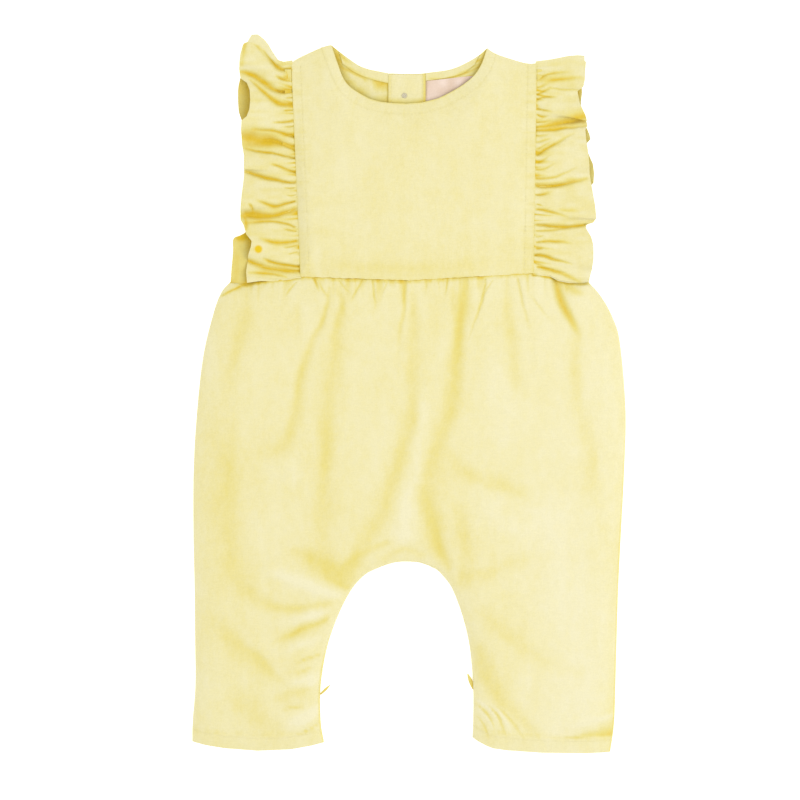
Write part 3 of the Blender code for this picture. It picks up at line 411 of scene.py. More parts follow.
TROUSER_FOLDS = fold_table(
    ("beside_pleat", 54, 80, 49.5, 62, 41.5, 36.5, 0.9, 1.1, -0.75, 1, 0.2, 0.5),
    ("beside_pleat_2", 59, 79.5, 53, 71, 50.5, 60, 0.7, 0.8, -0.45, 1, 0.1, 0.35),
    ("pleat_hollow", 32, 76, 30.5, 66, 31, 56, 2.2, 2.2, -0.4, 0.6, 0.2, 0.2),
    ("left_waist_fold", -86.5, 68.5, -82.5, 74, -78.5, 78, 0.8, 0.8, -0.45, 0.2, 0.9, 0.5),
    ("yoke_corner_fold", -67.5, 81, -65, 78.5, -62.5, 72.5, 1, 1, -0.8, 1, 0.3, 0.9),
    ("left_waist_2", -62.5, 79.5, -60, 73.5, -56.5, 68.5, 0.8, 0.8, -0.45, 0.9, 0.3, 0.5),
    ("left_waist_3", -40, 66, -36, 72.5, -32, 79.5, 1, 1, -0.55, 0.2, 1, 0.45),
    ("left_waist_4", -48.5, 80, -45, 75.5, -40.5, 71, 0.8, 0.8, -0.45, 1, 0.3, 0.4),
    ("centre_waist_1", -25, 79.5, -24, 70, -23, 60, 0.8, 0.9, -0.6, 1, 0.2, 0.55),
    ("centre_waist_2", -14.5, 79, -16.5, 74, -19, 69, 0.7, 0.7, -0.35, 1, 0.1, 0.3),
    ("centre_hollow", 21, 70, 19, 46, 16, 12, 5, 5, -0.25, 0.3, 0.2, 0.1),
    ("right_waist_1", 27, 80, 26.5, 74, 25, 67.5, 0.7, 0.8, -0.45, 1, 0.2, 0.5),
    ("right_waist_2", 19.5, 80, 20.5, 75.5, 21, 71, 0.6, 0.6, -0.35, 1, 0.1, 0.35),
    ("right_waist_3", 76.5, 80.5, 79, 66, 86.5, 44.5, 0.9, 1.4, -0.7, 1, 0.2, 0.45),
    ("right_waist_4", 85, 68.5, 92, 60, 100, 50, 1.1, 1.1, -0.45, 0.3, 0.2, 0.3),
    ("left_knee_crease", -91.5, -171.5, -75, -165, -58.5, -157, 3, 3.2, -0.75, 0.3, 0.9, 0.5),
    ("left_knee_ridge", -86, -163, -72, -158, -58, -152.5, 2.4, 2.4, 0.5, 0.3, 0.9, -0.15),
    ("left_inner_1", -78, -188, -71, -185.5, -63.5, -182.5, 1.3, 1.5, -0.45, 0.3, 0.8, 0.4),
    ("left_inner_2", -78.5, -195.5, -73, -193.5, -67, -191.5, 1.1, 1.2, -0.3, 0.3, 0.7, 0.3),
    ("left_inner_ridge", -76, -205.5, -68, -202.5, -62.5, -200, 1.6, 1.6, 0.3, 0.3, 0.8, -0.25),
    ("left_inner_3", -87, -221.5, -80, -219, -74, -218, 1.4, 1.6, -0.45, 0.4, 0.6, 0.4),
    ("left_hem_ridge", -84, -231, -72, -228, -64.5, -221.5, 1.8, 1.8, 0.5, 0.3, 0.7, -0.3),
    ("left_hem_pull", -78, -237.5, -70, -234.5, -63, -229, 1, 1.1, -0.5, 0.5, 0.8, 0.4),
    ("corner_crease", -131.5, 68, -122, 73.5, -110, 78.5, 0.9, 1.1, -0.5, 0.8, 0.9, 0.9),
    ("left_waist_soft", -78.5, 68, -78, 54, -78.5, 40, 2.6, 2.6, -0.25, 0.3, 0.2, 0.15),
    ("right_hem_ridge_1", 47, -213.5, 56, -220.5, 62, -230, 1.3, 1.3, 0.5, 0.7, 0.3, -0.35),
    ("right_hem_pull_1", 47.5, -217.5, 55, -225, 61, -237, 1, 1.1, -0.5, 0.6, 0.3, 0.5),
    ("right_hem_ridge_2", 49, -221.5, 56.5, -230, 63, -240, 1.2, 1.2, 0.5, 0.5, 0.4, -0.3),
    ("right_hem_pull_2", 54.5, -217.5, 62.5, -226, 68.5, -238.5, 1, 1.2, -0.5, 0.4, 0.4, 0.5),
    ("right_hem_ridge_3", 58, -217, 66.5, -227, 73, -238, 1.2, 1.3, 0.4, 0.3, 0.4, -0.3),
    ("right_hem_pull_3", 62, -219, 72, -229, 80, -240, 1.1, 1.3, -0.4, 0.3, 0.4, 0.4),
    ("right_hem_pull_4", 48, -226, 53, -232.5, 56, -240, 0.9, 1, -0.35, 0.5, 0.4, 0.4),
    ("right_hem_outer_ridge", 114, -232, 129, -228.5, 142, -226, 2.2, 2, 0.8, 0.2, 0.8, -0.35),
)
YOKE_FOLDS = fold_table(
    ("chest_trough", -69, 132.5, -52, 135, -34, 133, 5, 5, -0.35, 0.6, 0.1, 0.1),
    ("chest_trough_low", -72, 112, -58, 114, -44, 111, 4, 4, -0.3, 0.8, 0.1, 0.1),
    ("waist_hollow", -62, 90.5, -2, 88, 64, 92, 5, 4, -0.4, 0.2, 0.2, 0.15),
    ("right_chest", 82, 150, 66, 147, 52, 150, 5, 5, -0.3, 0.8, 0.1, 0.05),
)
LEFT_RUFFLE_FOLDS = fold_table(
    ("turned_edge", -112.5, 250.5, -115.5, 242, -117, 231, 1.8, 1.8, -0.4, 0.6, 0.5, 0.5),
    ("tip_thin", -109, 248, -105, 242, -101.5, 237.5, 1, 1.1, -0.5, 0.4, 0.3, 0.45),
    ("tip_fold_low", -93.5, 224.5, -88.5, 221, -83.5, 221, 1.1, 1.3, -1.25, 0.3, 1, 0.8),
    ("top_fold_root", -92, 213, -87, 211.5, -81, 212.5, 1.1, 1.3, -1.25, 0.8, 1, 0.95),
    ("root_1", -86, 207, -83.5, 207, -81, 207, 0.7, 0.7, -0.7, 0.3, 1, 0.6),
    ("root_2", -88, 198.5, -84.5, 198.5, -81, 198.5, 0.7, 0.9, -0.85, 0.2, 1, 0.7),
    ("short_gather", -95, 190, -87.5, 190.5, -81, 191.5, 1, 1.1, -0.85, 0.2, 1, 0.75),
    ("root_3", -87, 187, -84, 187, -81, 187.5, 0.6, 0.7, -0.65, 0.3, 1, 0.6),
    ("pocket_top", -110, 186, -95, 184, -80.5, 179.5, 1.4, 1.3, -1.25, 0.3, 1, 0.75),
    ("pocket_deep", -104, 178, -92, 176, -81, 170.5, 1.6, 1.5, -1, 0.4, 1, 0.8),
    ("pocket_low", -115, 172, -98, 168, -81, 165.5, 1.1, 1.1, -1.4, 0.5, 1, 0.85),
    ("middle_gather", -96.5, 160, -88.5, 158.5, -80, 156, 1.1, 1.3, -1.1, 0.2, 1, 0.8),
    ("middle_fold", -114.5, 155.5, -101, 151, -81, 147.5, 1.8, 1.6, -1.7, 0.5, 0.9, 0.95),
    ("root_4", -88, 144, -84, 143.5, -80.5, 143.5, 0.7, 0.7, -0.7, 0.2, 1, 0.6),
    ("root_5", -86, 138.5, -83, 138, -80, 138.5, 0.6, 0.6, -0.55, 0.2, 1, 0.5),
    ("low_fold", -106, 135, -95, 132.5, -80, 134, 1.3, 1.5, -1.35, 0.2, 1, 0.85),
    ("edge_curl", -111.5, 132.5, -109.5, 130.5, -108.5, 127.5, 1, 1, -1.25, 0.5, 0.6, 0.8),
    ("edge_curl_low", -116.5, 124.5, -114, 121, -113.5, 115, 1.3, 1.3, -0.85, 0.7, 0.6, 0.7),
    ("pocket_body", -117, 124.5, -108, 124.5, -96, 125.5, 4, 3.7, -0.7, 0.9, 0.1, 0.8),
    ("pocket_upper", -114.5, 126, -101, 124.5, -80, 128.5, 2.6, 2.6, -1.7, 0.7, 0.9, 0.9),
    ("pocket_lower", -112, 120, -95, 120.5, -79.5, 117.5, 1, 1.2, -1.1, 0.3, 1, 0.75),
    ("root_6", -87.5, 115.5, -83, 115, -79, 114.5, 0.7, 0.7, -0.7, 0.2, 1, 0.6),
    ("yoke_gather", -104, 108.5, -92, 106.5, -79, 107.5, 1.8, 1.8, -1.1, 0.2, 1, 0.85),
    ("root_7", -88, 103, -83.5, 103.5, -78.5, 104.5, 0.7, 0.7, -0.7, 0.2, 1, 0.55),
    ("root_8", -85, 98.5, -82, 99, -78.5, 100, 0.6, 0.6, -0.55, 0.2, 1, 0.45),
    ("waist_gather", -102, 95, -92, 92, -77, 90, 1.3, 1.5, -1.4, 0.3, 1, 0.95),
    ("waist_fold", -114.5, 94, -98, 88, -76.5, 86.5, 2.4, 1.9, -1.7, 0.8, 1, 0.95),
    ("waist_fold_low", -112.5, 85, -98, 84, -86.5, 81.5, 1.6, 1.1, -1, 0.5, 0.5, 0.7),
)
LEFT_RUFFLE_CREASES = [
    Crease("tip_fold", [
        (-106.5, 248, 0.8, 1, -0.5, 0.3), (-102, 243, 1.2, 1.6, -1.2, 0.6), (-98, 237, 1.6, 2, -1.6, 0.75),
        (-94.5, 231.5, 1.6, 2, -1.6, 0.8), (-89.5, 228, 1.4, 1.8, -1.5, 0.85), (-84, 227, 0.8, 1, -1, 0.6),
    ]),
    Crease("top_fold", [
        (-117, 226.5, 1.2, 1.2, -0.8, 0.4), (-112, 225, 1.8, 1.8, -1.5, 0.75),
        (-104.5, 220.5, 2.2, 2.2, -1.8, 0.8), (-94, 213.5, 2.2, 2.2, -1.8, 0.85),
        (-87, 212, 1.6, 1.6, -1.5, 0.9), (-81.5, 212, 1, 1, -1, 0.8),
    ]),
    Crease("second_fold", [
        (-111.5, 220.5, 0.8, 0.8, -0.6, 0.3), (-106, 215.5, 1.2, 1.2, -1, 0.6),
        (-99, 209.5, 1.6, 1.6, -1.5, 0.8), (-90, 203.5, 1.8, 1.8, -1.6, 0.85), (-82, 202.5, 1, 1, -1.1, 0.85),
    ]),
    Crease("big_pocket", [
        (-118, 180, 4, 4.5, -0.8, 0.5), (-112, 179, 5.5, 6, -1.7, 0.75), (-105, 178.5, 5.5, 6, -1.8, 0.85),
        (-97, 177, 4, 4.5, -1.7, 0.85), (-88.5, 175, 2.5, 2.5, -1.3, 0.6), (-81, 173.5, 1.2, 1.2, -0.8, 0.5),
    ]),
]
RIGHT_RUFFLE_CREASES = [
    Crease("big_fold", [
        (89.5, 186.5, 1, 1, -1, 0.75), (101, 188.5, 2.5, 1.5, -1.6, 0.8), (113, 191, 4.5, 2, -2, 0.8),
        (121, 192.5, 5, 2.5, -2, 0.85), (127, 193.5, 5, 2.5, -1.8, 0.8),
    ]),
]
RIGHT_RUFFLE_FOLDS = fold_table(
    ("top_fold", 90, 221.5, 101, 224.5, 112, 226, 1.1, 1.2, -0.85, 0.6, 0.2, 0.6),
    ("top_fold_low", 97, 218.5, 106.5, 220.5, 119, 222, 1.8, 1.8, -0.85, 0.4, 0.4, 0.65),
    ("tongue_root", 90, 215.5, 94, 216, 98, 217, 1, 1, -0.7, 1, 0.2, 0.6),
    ("tongue_lip", 90, 210.5, 95, 212.5, 100, 215, 1.1, 1.1, -1, 1, 0.2, 0.7),
    ("under_lip", 99, 214.5, 110, 213.5, 119.5, 213, 0.6, 1.3, -0.7, 0.3, 0.8, 0.45),
    ("fan_1", 90, 207, 97.5, 208.5, 105, 208, 0.9, 1, -0.85, 1, 0.2, 0.65),
    ("fan_2", 90, 200, 94.5, 198.5, 100, 197.5, 1, 1, -1, 1, 0.2, 0.75),
    ("fan_3", 89.5, 195.5, 93, 194, 97.5, 194, 1, 1, -1, 1, 0.2, 0.8),
    ("fan_4", 89.5, 190, 94.5, 190.5, 100, 191, 0.9, 0.9, -0.85, 1, 0.2, 0.8),
    ("big_fold_edge", 89.5, 184, 106, 185.5, 124, 187.5, 2.1, 1.1, -1.25, 0.9, 0.5, 0.9),
    ("fan_5", 89.5, 181, 93.5, 181, 98, 182.5, 0.9, 0.9, -0.7, 1, 0.2, 0.6),
    ("fan_6", 89.5, 176, 93.5, 177, 98.5, 179.5, 0.9, 0.9, -0.7, 1, 0.2, 0.6),
    ("fan_7", 89.5, 171.5, 94, 173.5, 99.5, 177, 0.9, 1, -0.7, 1, 0.2, 0.6),
    ("diagonal", 89.5, 167, 99, 173, 115, 182, 1.6, 1.2, -1.4, 1, 0.3, 0.85),
    ("fan_8", 89.5, 161.5, 93.5, 163.5, 98.5, 166.5, 0.7, 0.9, -0.65, 1, 0.2, 0.55),
    ("gather_3", 89.5, 156.5, 94.5, 157.5, 101, 161, 1, 1, -0.7, 1, 0.2, 0.6),
    ("middle_soft", 89.5, 150.5, 103, 152, 117, 158, 1.2, 1.2, -0.85, 1, 0.2, 0.65),
    ("middle_fold", 89.5, 146, 104.5, 145.5, 123.5, 151, 2.1, 1.5, -2.1, 0.9, 0.4, 0.95),
    ("gather_4", 89.5, 139.5, 94, 139.5, 100, 141, 1.2, 1.2, -1, 1, 0.2, 0.8),
    ("root_1", 89.5, 132.5, 91.5, 132, 94, 131.5, 0.7, 0.7, -0.7, 1, 0.2, 0.65),
    ("low_gather", 89.5, 128.5, 99.5, 127.5, 110, 124, 1.3, 1.3, -1.1, 1, 0.2, 0.8),
    ("low_soft", 104, 129, 112, 128.5, 120, 128, 1.5, 1.5, -0.4, 0.3, 0.3, 0.35),
    ("low_fold", 89.5, 118.5, 107, 116.5, 124, 119, 1.6, 1.5, -1.8, 0.7, 0.9, 0.95),
    ("low_fold_2", 89, 114, 101, 114, 113.5, 117, 0.9, 0.9, -0.85, 1, 0.2, 0.65),
    ("root_2", 89, 109.5, 92, 110, 95, 110.5, 0.6, 0.6, -0.55, 1, 0.2, 0.5),
    ("gather_5", 89, 105.5, 101, 106.5, 114, 105.5, 1.2, 1.2, -1, 1, 0.2, 0.75),
    ("root_3", 88.5, 101.5, 91, 101.5, 94, 101.5, 0.9, 0.9, -0.85, 1, 0.2, 0.85),
    ("waist_fold", 88.5, 97, 98, 96, 114.5, 90.5, 1.2, 1.2, -1.55, 1, 0.3, 0.95),
    ("root_4", 88.5, 92, 91, 91, 95, 90.5, 0.7, 0.9, -0.7, 1, 0.2, 0.65),
    ("waist_fold_low", 90.5, 89, 101, 87, 121, 78.5, 1.5, 1.5, -1.55, 0.9, 0.3, 0.95),
)
SIDE_FOLDS_LEFT = fold_table(
    ("armhole_corner", -119.5, 108.5, -114, 109.5, -108, 110.5, 2.6, 2.6, -0.4, 0.8, 0.9, 0.75),
    ("waist_corner", -117, 76, -113, 80, -112, 92, 1.6, 1.6, -0.3, 1, 0.2, 0.7),
    ("side_soft", -121, 100, -120, 90, -121, 80, 2.4, 2.4, -0.2, 0.4, 0.4, 0.2),
)
SIDE_FOLDS_RIGHT = fold_table(
    ("armhole_corner", 127, 108.5, 122, 109.5, 116, 110.5, 2.6, 2.6, -0.4, 0.8, 0.9, 0.75),
    ("waist_corner", 121, 76, 119, 82, 118, 92, 1.6, 1.6, -0.3, 1, 0.2, 0.6),
)

# ---------------------------------------------------------------- surfaces


def smooth_run(values, sharp, cells):
    """Points on a smooth line through the rows, with a corner at each sharp row."""
    run = []
    last = len(values) - 1
    for row in range(last):
        start, end = values[row], values[row + 1]
        before = 2 * start - end if row == 0 or sharp[row] else values[row - 1]
        after = 2 * end - start if row + 1 == last or sharp[row + 1] else values[row + 2]
        for step in range(cells[row]):
            t = step / cells[row]
            run.append(
                start
                + 0.5 * t * (end - before)
                + 0.5 * t**2 * (2 * before - 5 * start + 4 * end - after)
                + 0.5 * t**3 * (3 * start - before - 3 * end + after)
            )
    run.append(values[last])
    return np.array(run)


def rounded(share):
    """From 0 at an edge to 1 inside, turning over like the rolled side of a layer."""
    return np.sqrt(1.0 - (1.0 - unit(share)) ** 2)


def crowded(cells, inner, outer):
    """Shares from 0 to 1 that lie closer together towards the two ends."""
    even = np.linspace(0.0, 1.0, 20 * cells + 1)
    density = 1.0 + inner * np.exp(-even / INNER_CROWD) + outer * np.exp(-(1.0 - even) / OUTER_CROWD)
    run = np.concatenate([[0.0], np.cumsum((density[1:] + density[:-1]) / 2.0)])
    return np.interp(np.linspace(0.0, run[-1], cells + 1), run, even)


def eased(share):
    """From 0 at an edge to 1 inside, along a gentle slope."""
    return np.sin(unit(share) * math.pi / 2)


def sheet_points(sections, across, fineness=1.0, crowd=(0.0, 0.0), roll=rounded):
    """A grid of points through the sections, from their inner to their outer ends."""
    cells = [max(1, round(row.cells * fineness)) for row in sections]
    columns = np.array([row[1:5] + row[7:] for row in sections], float)
    run = smooth_run(columns, [row.sharp for row in sections], cells)
    v = crowded(across, *crowd)[None, :]
    inner_x, inner_y, outer_x, outer_y, inner_z, crown_z, outer_z, bow = run.T[..., None]
    length = np.hypot(outer_x - inner_x, outer_y - inner_y)
    bulge = bow * (1.0 - (2.0 * v - 1.0) ** 4)
    x = inner_x + (outer_x - inner_x) * v - bulge * (outer_y - inner_y) / length
    y = inner_y + (outer_y - inner_y) * v + bulge * (outer_x - inner_x) / length
    near_inner = roll(v / ROLL_SHARE)
    near_outer = roll((1.0 - v) / ROLL_SHARE)
    z = MIDDLE + inner_z + (crown_z - inner_z) * near_inner
    z = z + (outer_z - crown_z) * (1.0 - near_outer)
    return np.stack([x, y, z], axis=-1)


FOLD_STEPS = 12                 # straight pieces of a fold's line
CREASE_CELLS = 6                # straight pieces of a crease between two stations
FOLD_REACH = 2.8                # folds are worked out this many widths from their line
FADE_IN, FADE_OUT = 0.3, 0.5    # shares of a fold's length in which it starts and ends
LEAST_WIDTH = 0.5


def bent_path(fold):
    """A smooth bend through a fold's three points."""
    t = np.linspace(0.0, 1.0, FOLD_STEPS + 1)[:, None]
    a, b, c = (np.array(p) for p in ((fold.x1, fold.y1), (fold.x2, fold.y2), (fold.x3, fold.y3)))
    control = 2.0 * b - 0.5 * (a + c)
    return (1.0 - t) ** 2 * a + 2.0 * t * (1.0 - t) * control + t**2 * c


def beside_line(x, y, path, widest):
    """The points near a line, how far off they are, how far along it and on which side."""
    reach = FOLD_REACH * widest
    low, high = path.min(axis=0) - reach, path.max(axis=0) + reach
    near = (x > low[0]) & (x < high[0]) & (y > low[1]) & (y < high[1])
    px, py = x[near], y[near]
    best = np.full(px.shape, 1e9)
    along, side = np.zeros(px.shape), np.ones(px.shape)
    for i in range(len(path) - 1):
        (ax, ay), (bx, by) = path[i], path[i + 1]
        dx, dy = bx - ax, by - ay
        t = unit(((px - ax) * dx + (py - ay) * dy) / (dx * dx + dy * dy))
        away = np.hypot(px - ax - t * dx, py - ay - t * dy)
        closer = away < best
        best = np.where(closer, away, best)
        along = np.where(closer, i + t, along)
        side = np.where(closer, np.sign(dx * (py - ay) - dy * (px - ax)), side)
    return near, best, along, side > 0.0


def fold_profile(x, y, fold):
    """How much of a fold is felt at each point, from 0 to 1 on its line."""
    widest = max(fold.left_width, fold.right_width)
    near, best, along, left = beside_line(x, y, bent_path(fold), widest)
    along = along / FOLD_STEPS
    width = np.where(left, fold.left_width, fold.right_width)
    width = width * (0.7 + 0.3 * np.sin(along * math.pi))
    fade_in = fold.start + (1.0 - fold.start) * eased(along / FADE_IN)
    fade_out = fold.end + (1.0 - fold.end) * eased((1.0 - along) / FADE_OUT)
    profile = np.zeros(x.shape)
    profile[near] = fade_in * fade_out * bell(best, width)
    return profile


def crease_relief(x, y, crease):
    """Height and painted shade of a long crease at each point."""
    count = len(crease.stations)
    path = smooth_run(np.array(crease.stations, float), [0] * count, [CREASE_CELLS] * (count - 1))
    path[:, 2:4] = np.maximum(path[:, 2:4], LEAST_WIDTH)
    near, best, along, on_left = beside_line(x, y, path[:, :2], path[:, 2:4].max())
    places = np.arange(len(path))
    left, right, height, shade = (np.interp(along, places, path[:, i]) for i in range(2, 6))
    profile = bell(best, np.where(on_left, left, right))
    relief, painted_shade = np.zeros(x.shape), np.zeros(x.shape)
    relief[near], painted_shade[near] = height * profile, shade * profile
    return relief, painted_shade


def wander(t, step, seed):
    """Smooth uneven wave along a line, from -1 to 1."""
    rng = np.random.default_rng(seed)
    t = np.asarray(t, float)
    low = math.floor(t.min() / step) - 1
    count = math.ceil(t.max() / step) - low + 3
    knots = rng.uniform(-1.0, 1.0, count)
    place = t / step - low
    index = np.clip(np.floor(place).astype(int), 0, count - 2)
    share = place - index
    share = share * share * (3.0 - 2.0 * share)
    return knots[index] * (1.0 - share) + knots[index + 1] * share


def mottle(x, y, size, seed):
    """Smooth uneven relief over a surface, from -1 to 1."""
    rng = np.random.default_rng(seed)
    columns = math.ceil((x.max() - x.min()) / size) + 3
    rows = math.ceil((y.max() - y.min()) / size) + 3
    knots = rng.uniform(-1.0, 1.0, (columns, rows))
    px, py = (x - x.min()) / size, (y - y.min()) / size
    i, j = np.floor(px).astype(int), np.floor(py).astype(int)
    a, b = px - i, py - j
    a, b = a * a * (3.0 - 2.0 * a), b * b * (3.0 - 2.0 * b)
    low = knots[i, j] * (1.0 - a) + knots[i + 1, j] * a
    high = knots[i, j + 1] * (1.0 - a) + knots[i + 1, j + 1] * a
    return low * (1.0 - b) + high * b


def uneven(x, y, seed, *layers):
    """Several layers of relief, each given as its height and its size."""
    return sum(high * mottle(x, y, size, seed + i) for i, (high, size) in enumerate(layers))


def along_line(line, place):
    """The value of a table at each place, its places in either order."""
    table = np.array(sorted(line), float)
    return np.interp(place, table[:, 0], table[:, 1])


def row_lengths(points):
    """Length along each row of a grid from its first point, in the plane."""
    steps = np.hypot(np.diff(points[..., 0], axis=1), np.diff(points[..., 1], axis=1))
    return np.concatenate([np.zeros((points.shape[0], 1)), np.cumsum(steps, axis=1)], axis=1)


# ---------------------------------------------------------------- meshes


def add_object(name, data):
    piece = bpy.data.objects.new(name, data)
    bpy.context.scene.collection.objects.link(piece)
    return piece


def write_values(mesh, name, values):
    """Stores one number for each point of a mesh."""
    attribute = mesh.attributes.new(name, "FLOAT", "POINT")
    attribute.data.foreach_set("value", values.ravel().astype(np.float32))


Laid = namedtuple("Laid", "mesh points faces extra")
LAID = []                       # every cloth grid, for the light that its folds keep out


def turn_under(points, wall, cells):
    """Adds the edge that is turned under, at both ends of a grid's rows."""
    down = np.array([0.0, 0.0, -wall])
    parts = [
        points[cells:cells + 1] + down, points[:1] + down, points,
        points[-1:] + down, points[-1 - cells:-cells] + down,
    ]
    return np.concatenate(parts)


def cloth_mesh(name, points, wall, material, extra=0.0, turned=0):
    """A thin shell through a grid of points. Extra is the painted shade given for each point.

    A large piece is one layer whose edges are turned under, over a number of cells.
    """
    extra = extra + np.zeros(points.shape[:2])
    if turned:
        points = turn_under(points, wall, turned)
        points = turn_under(points.transpose(1, 0, 2), wall, turned).transpose(1, 0, 2)
        extra = np.pad(extra, 2, mode="edge")
    rows, columns = points.shape[:2]
    rim = 1 if turned else 0
    across, along = np.meshgrid(np.arange(columns), np.arange(rows))
    row_rim = np.where(np.minimum(along, rows - 1 - along) <= 2 * rim, along, -1)
    column_rim = np.where(np.minimum(across, columns - 1 - across) <= 2 * rim, across, -1)
    if turned:
        row_rim[[0, -1]] = -1
        column_rim[:, [0, -1]] = -1
    verts = (points.reshape(-1, 3) * MM).tolist()
    first = (np.arange(rows - 1)[:, None] * columns + np.arange(columns - 1)[None, :]).ravel()
    faces = np.stack([first, first + columns, first + columns + 1, first + 1], axis=1)
    mesh = bpy.data.meshes.new(name)
    mesh.from_pydata(verts, [], faces.tolist())
    mesh.update()
    ends = np.zeros(2 * len(mesh.edges), np.int32)
    mesh.edges.foreach_get("vertices", ends)
    first_end, second_end = ends.reshape(-1, 2).T
    sharp = np.zeros(len(mesh.edges), bool)
    for place in (row_rim.ravel(), column_rim.ravel()):
        sharp |= (place[first_end] >= 0) & (place[first_end] == place[second_end])
    mesh.attributes.new("sharp_edge", "BOOLEAN", "EDGE").data.foreach_set("value", sharp)
    LAID.append(Laid(mesh, points.copy(), faces, extra))
    piece = add_object(name, mesh)
    mesh.materials.append(material)
    mesh.shade_smooth()
    if sum(face.normal.z * face.area for face in mesh.polygons) < 0.0:
        mesh.flip_normals()
    if not turned:
        solidify = piece.modifiers.new("cloth", "SOLIDIFY")
        solidify.thickness = wall * MM
        solidify.offset = 0.0
        solidify.use_even_offset = False
    return piece


SKY_RINGS = ((62.0, 5, 0.40), (38.0, 7, 0.38), (16.0, 7, 0.22))
SKY_REACH, SKY_STEP, SKY_LIFT, SKY_SHARE = 22.0, 3, 0.4, 0.75
GRAZING = 0.05                  # rays this flat on the cloth aren't counted
SHADE_START, SHADE_FULL = 0.06, 0.62


def sky_rays():
    """Rays to the open sky, each with its share of the light."""
    rays = []
    for ring, (height, count, weight) in enumerate(SKY_RINGS):
        for i in range(count):
            turn = 2.0 * math.pi * (i + 0.37 * ring) / count
            flat = math.cos(math.radians(height))
            up = math.sin(math.radians(height))
            ray = Vector((flat * math.cos(turn), flat * math.sin(turn), up))
            rays.append((ray, weight / count))
    return rays


def sampled(count):
    """Places along a grid where its light is worked out: the ends and every few cells."""
    inside = range(2, count - 2, SKY_STEP)
    return np.array(sorted({0, 1, *inside, count - 3, count - 2, count - 1}))


def spread(values, places, count):
    """Values at some rows of a grid, filled in between."""
    whole = np.arange(count)
    return np.stack([np.interp(whole, places, column) for column in values.T], axis=1)


def shade_folds():
    """Writes on each cloth how much of the sky its neighbours and its own folds hide."""
    verts, faces = [], []
    for laid in LAID:
        faces.extend((laid.faces + len(verts)).tolist())
        verts.extend(laid.points.reshape(-1, 3).tolist())
    tree = BVHTree.FromPolygons(verts, faces)
    rays = sky_rays()
    for laid in LAID:
        count, across = laid.points.shape[:2]
        rows, columns = sampled(count), sampled(across)
        normals = np.cross(np.gradient(laid.points, axis=0), np.gradient(laid.points, axis=1))
        normals /= np.maximum(np.linalg.norm(normals, axis=-1, keepdims=True), 1e-9)
        normals *= np.where(normals[..., 2:] < 0.0, -1.0, 1.0)
        starts = laid.points + normals * SKY_LIFT
        shade = np.zeros((len(rows), len(columns)))
        for i, row in enumerate(rows):
            for j, column in enumerate(columns):
                start, normal = Vector(starts[row, column]), Vector(normals[row, column])
                seen = hidden = 0.0
                for ray, weight in rays:
                    if ray.dot(normal) <= GRAZING:
                        continue
                    seen += weight
                    if tree.ray_cast(start, ray, SKY_REACH)[0] is not None:
                        hidden += weight
                shade[i, j] = hidden / max(seen, 1e-6)
        shade = spread(spread(shade, rows, count).T, columns, across).T
        shade = unit((shade - SHADE_START) / (SHADE_FULL - SHADE_START))
        shade = 1.0 - (1.0 - SKY_SHARE * shade) * (1.0 - np.clip(laid.extra, -0.3, 1.0))
        write_values(laid.mesh, "fold_shade", shade)


# ---------------------------------------------------------------- materials


def new_socket(group, name, kind, way, value=None):
    socket = group.interface.new_socket(name=name, in_out=way, socket_type=kind)
    if value is not None:
        socket.default_value = value
    return socket


def set_inputs(node, inputs):
    """Puts values, or the outputs of other nodes, on the inputs of a node."""
    for place, value in inputs.items():
        if isinstance(value, bpy.types.NodeSocket):
            node.id_data.links.new(value, node.inputs[place])
        else:
            node.inputs[place].default_value = value


def add_node(tree, kind, inputs=None, **settings):
    node = tree.nodes.new(kind)
    for name, value in settings.items():
        setattr(node, name, value)
    set_inputs(node, inputs or {})
    return node


def slub_weave_group():
    """Plain weave of uneven threads: a mask of its slubs, soft clouds of uneven tone and of painted shade of
    fine crumples, and a relief.
    """
    group = bpy.data.node_groups.new("slub_weave", "ShaderNodeTree")
    new_socket(group, "Vector", "NodeSocketVector", "INPUT")
    for name in ("Mask", "Clouds", "Relief"):
        new_socket(group, name, "NodeSocketFloat", "OUTPUT")
    start = add_node(group, "NodeGroupInput").outputs

    def noise(scale, stretch, shift, detail=2.0, rough=0.5):
        mapping = add_node(group, "ShaderNodeMapping", {
            "Vector": start["Vector"], "Scale": stretch, "Location": (shift, shift, 0.0),
        })
        return add_node(group, "ShaderNodeTexNoise", {
            "Vector": mapping.outputs["Vector"], "Scale": scale, "Detail": detail,
            "Roughness": rough,
        }).outputs["Fac"]

    def threads(direction):
        return add_node(group, "ShaderNodeTexWave", {
            "Vector": start["Vector"], "Scale": THREAD_SCALE, "Distortion": 2.5, "Detail": 2.0,
        }, bands_direction=direction).outputs["Fac"]

    def blend(*parts):
        """Adds up several sockets, each by its share."""
        total = 0.0
        for socket, share in parts:
            inputs = {0: socket, 1: share, 2: total}
            total = add_node(group, "ShaderNodeMath", inputs, operation="MULTIPLY_ADD").outputs[0]
        return total

    weft = noise(900.0, (0.25, 1.4, 1.0), 3.0)
    warp = noise(900.0, (1.4, 0.25, 1.0), 7.0)
    speckle = noise(1100.0, (1.0, 1.0, 1.0), 11.0)
    slubs = blend((weft, 0.28), (warp, 0.22), (speckle, 0.50))
    streaks = noise(110.0, (1.0, 0.25, 1.0), 13.0, 3.0)
    patches = noise(34.0, (1.0, 0.6, 1.0), 17.0, 4.0)
    # Fine crumples are painted shade in the clouds only; the relief has none.
    crumple_shade = noise(170.0, (1.0, 0.7, 1.0), 19.0, 4.0, 0.8)
    add_node(group, "NodeGroupOutput", {
        "Mask": slubs,
        "Clouds": blend((streaks, 0.26), (patches, 0.30), (crumple_shade, 0.44)),
        "Relief": blend((threads("X"), 0.18), (threads("Y"), 0.18), (slubs, 0.64)),
    })
    return group


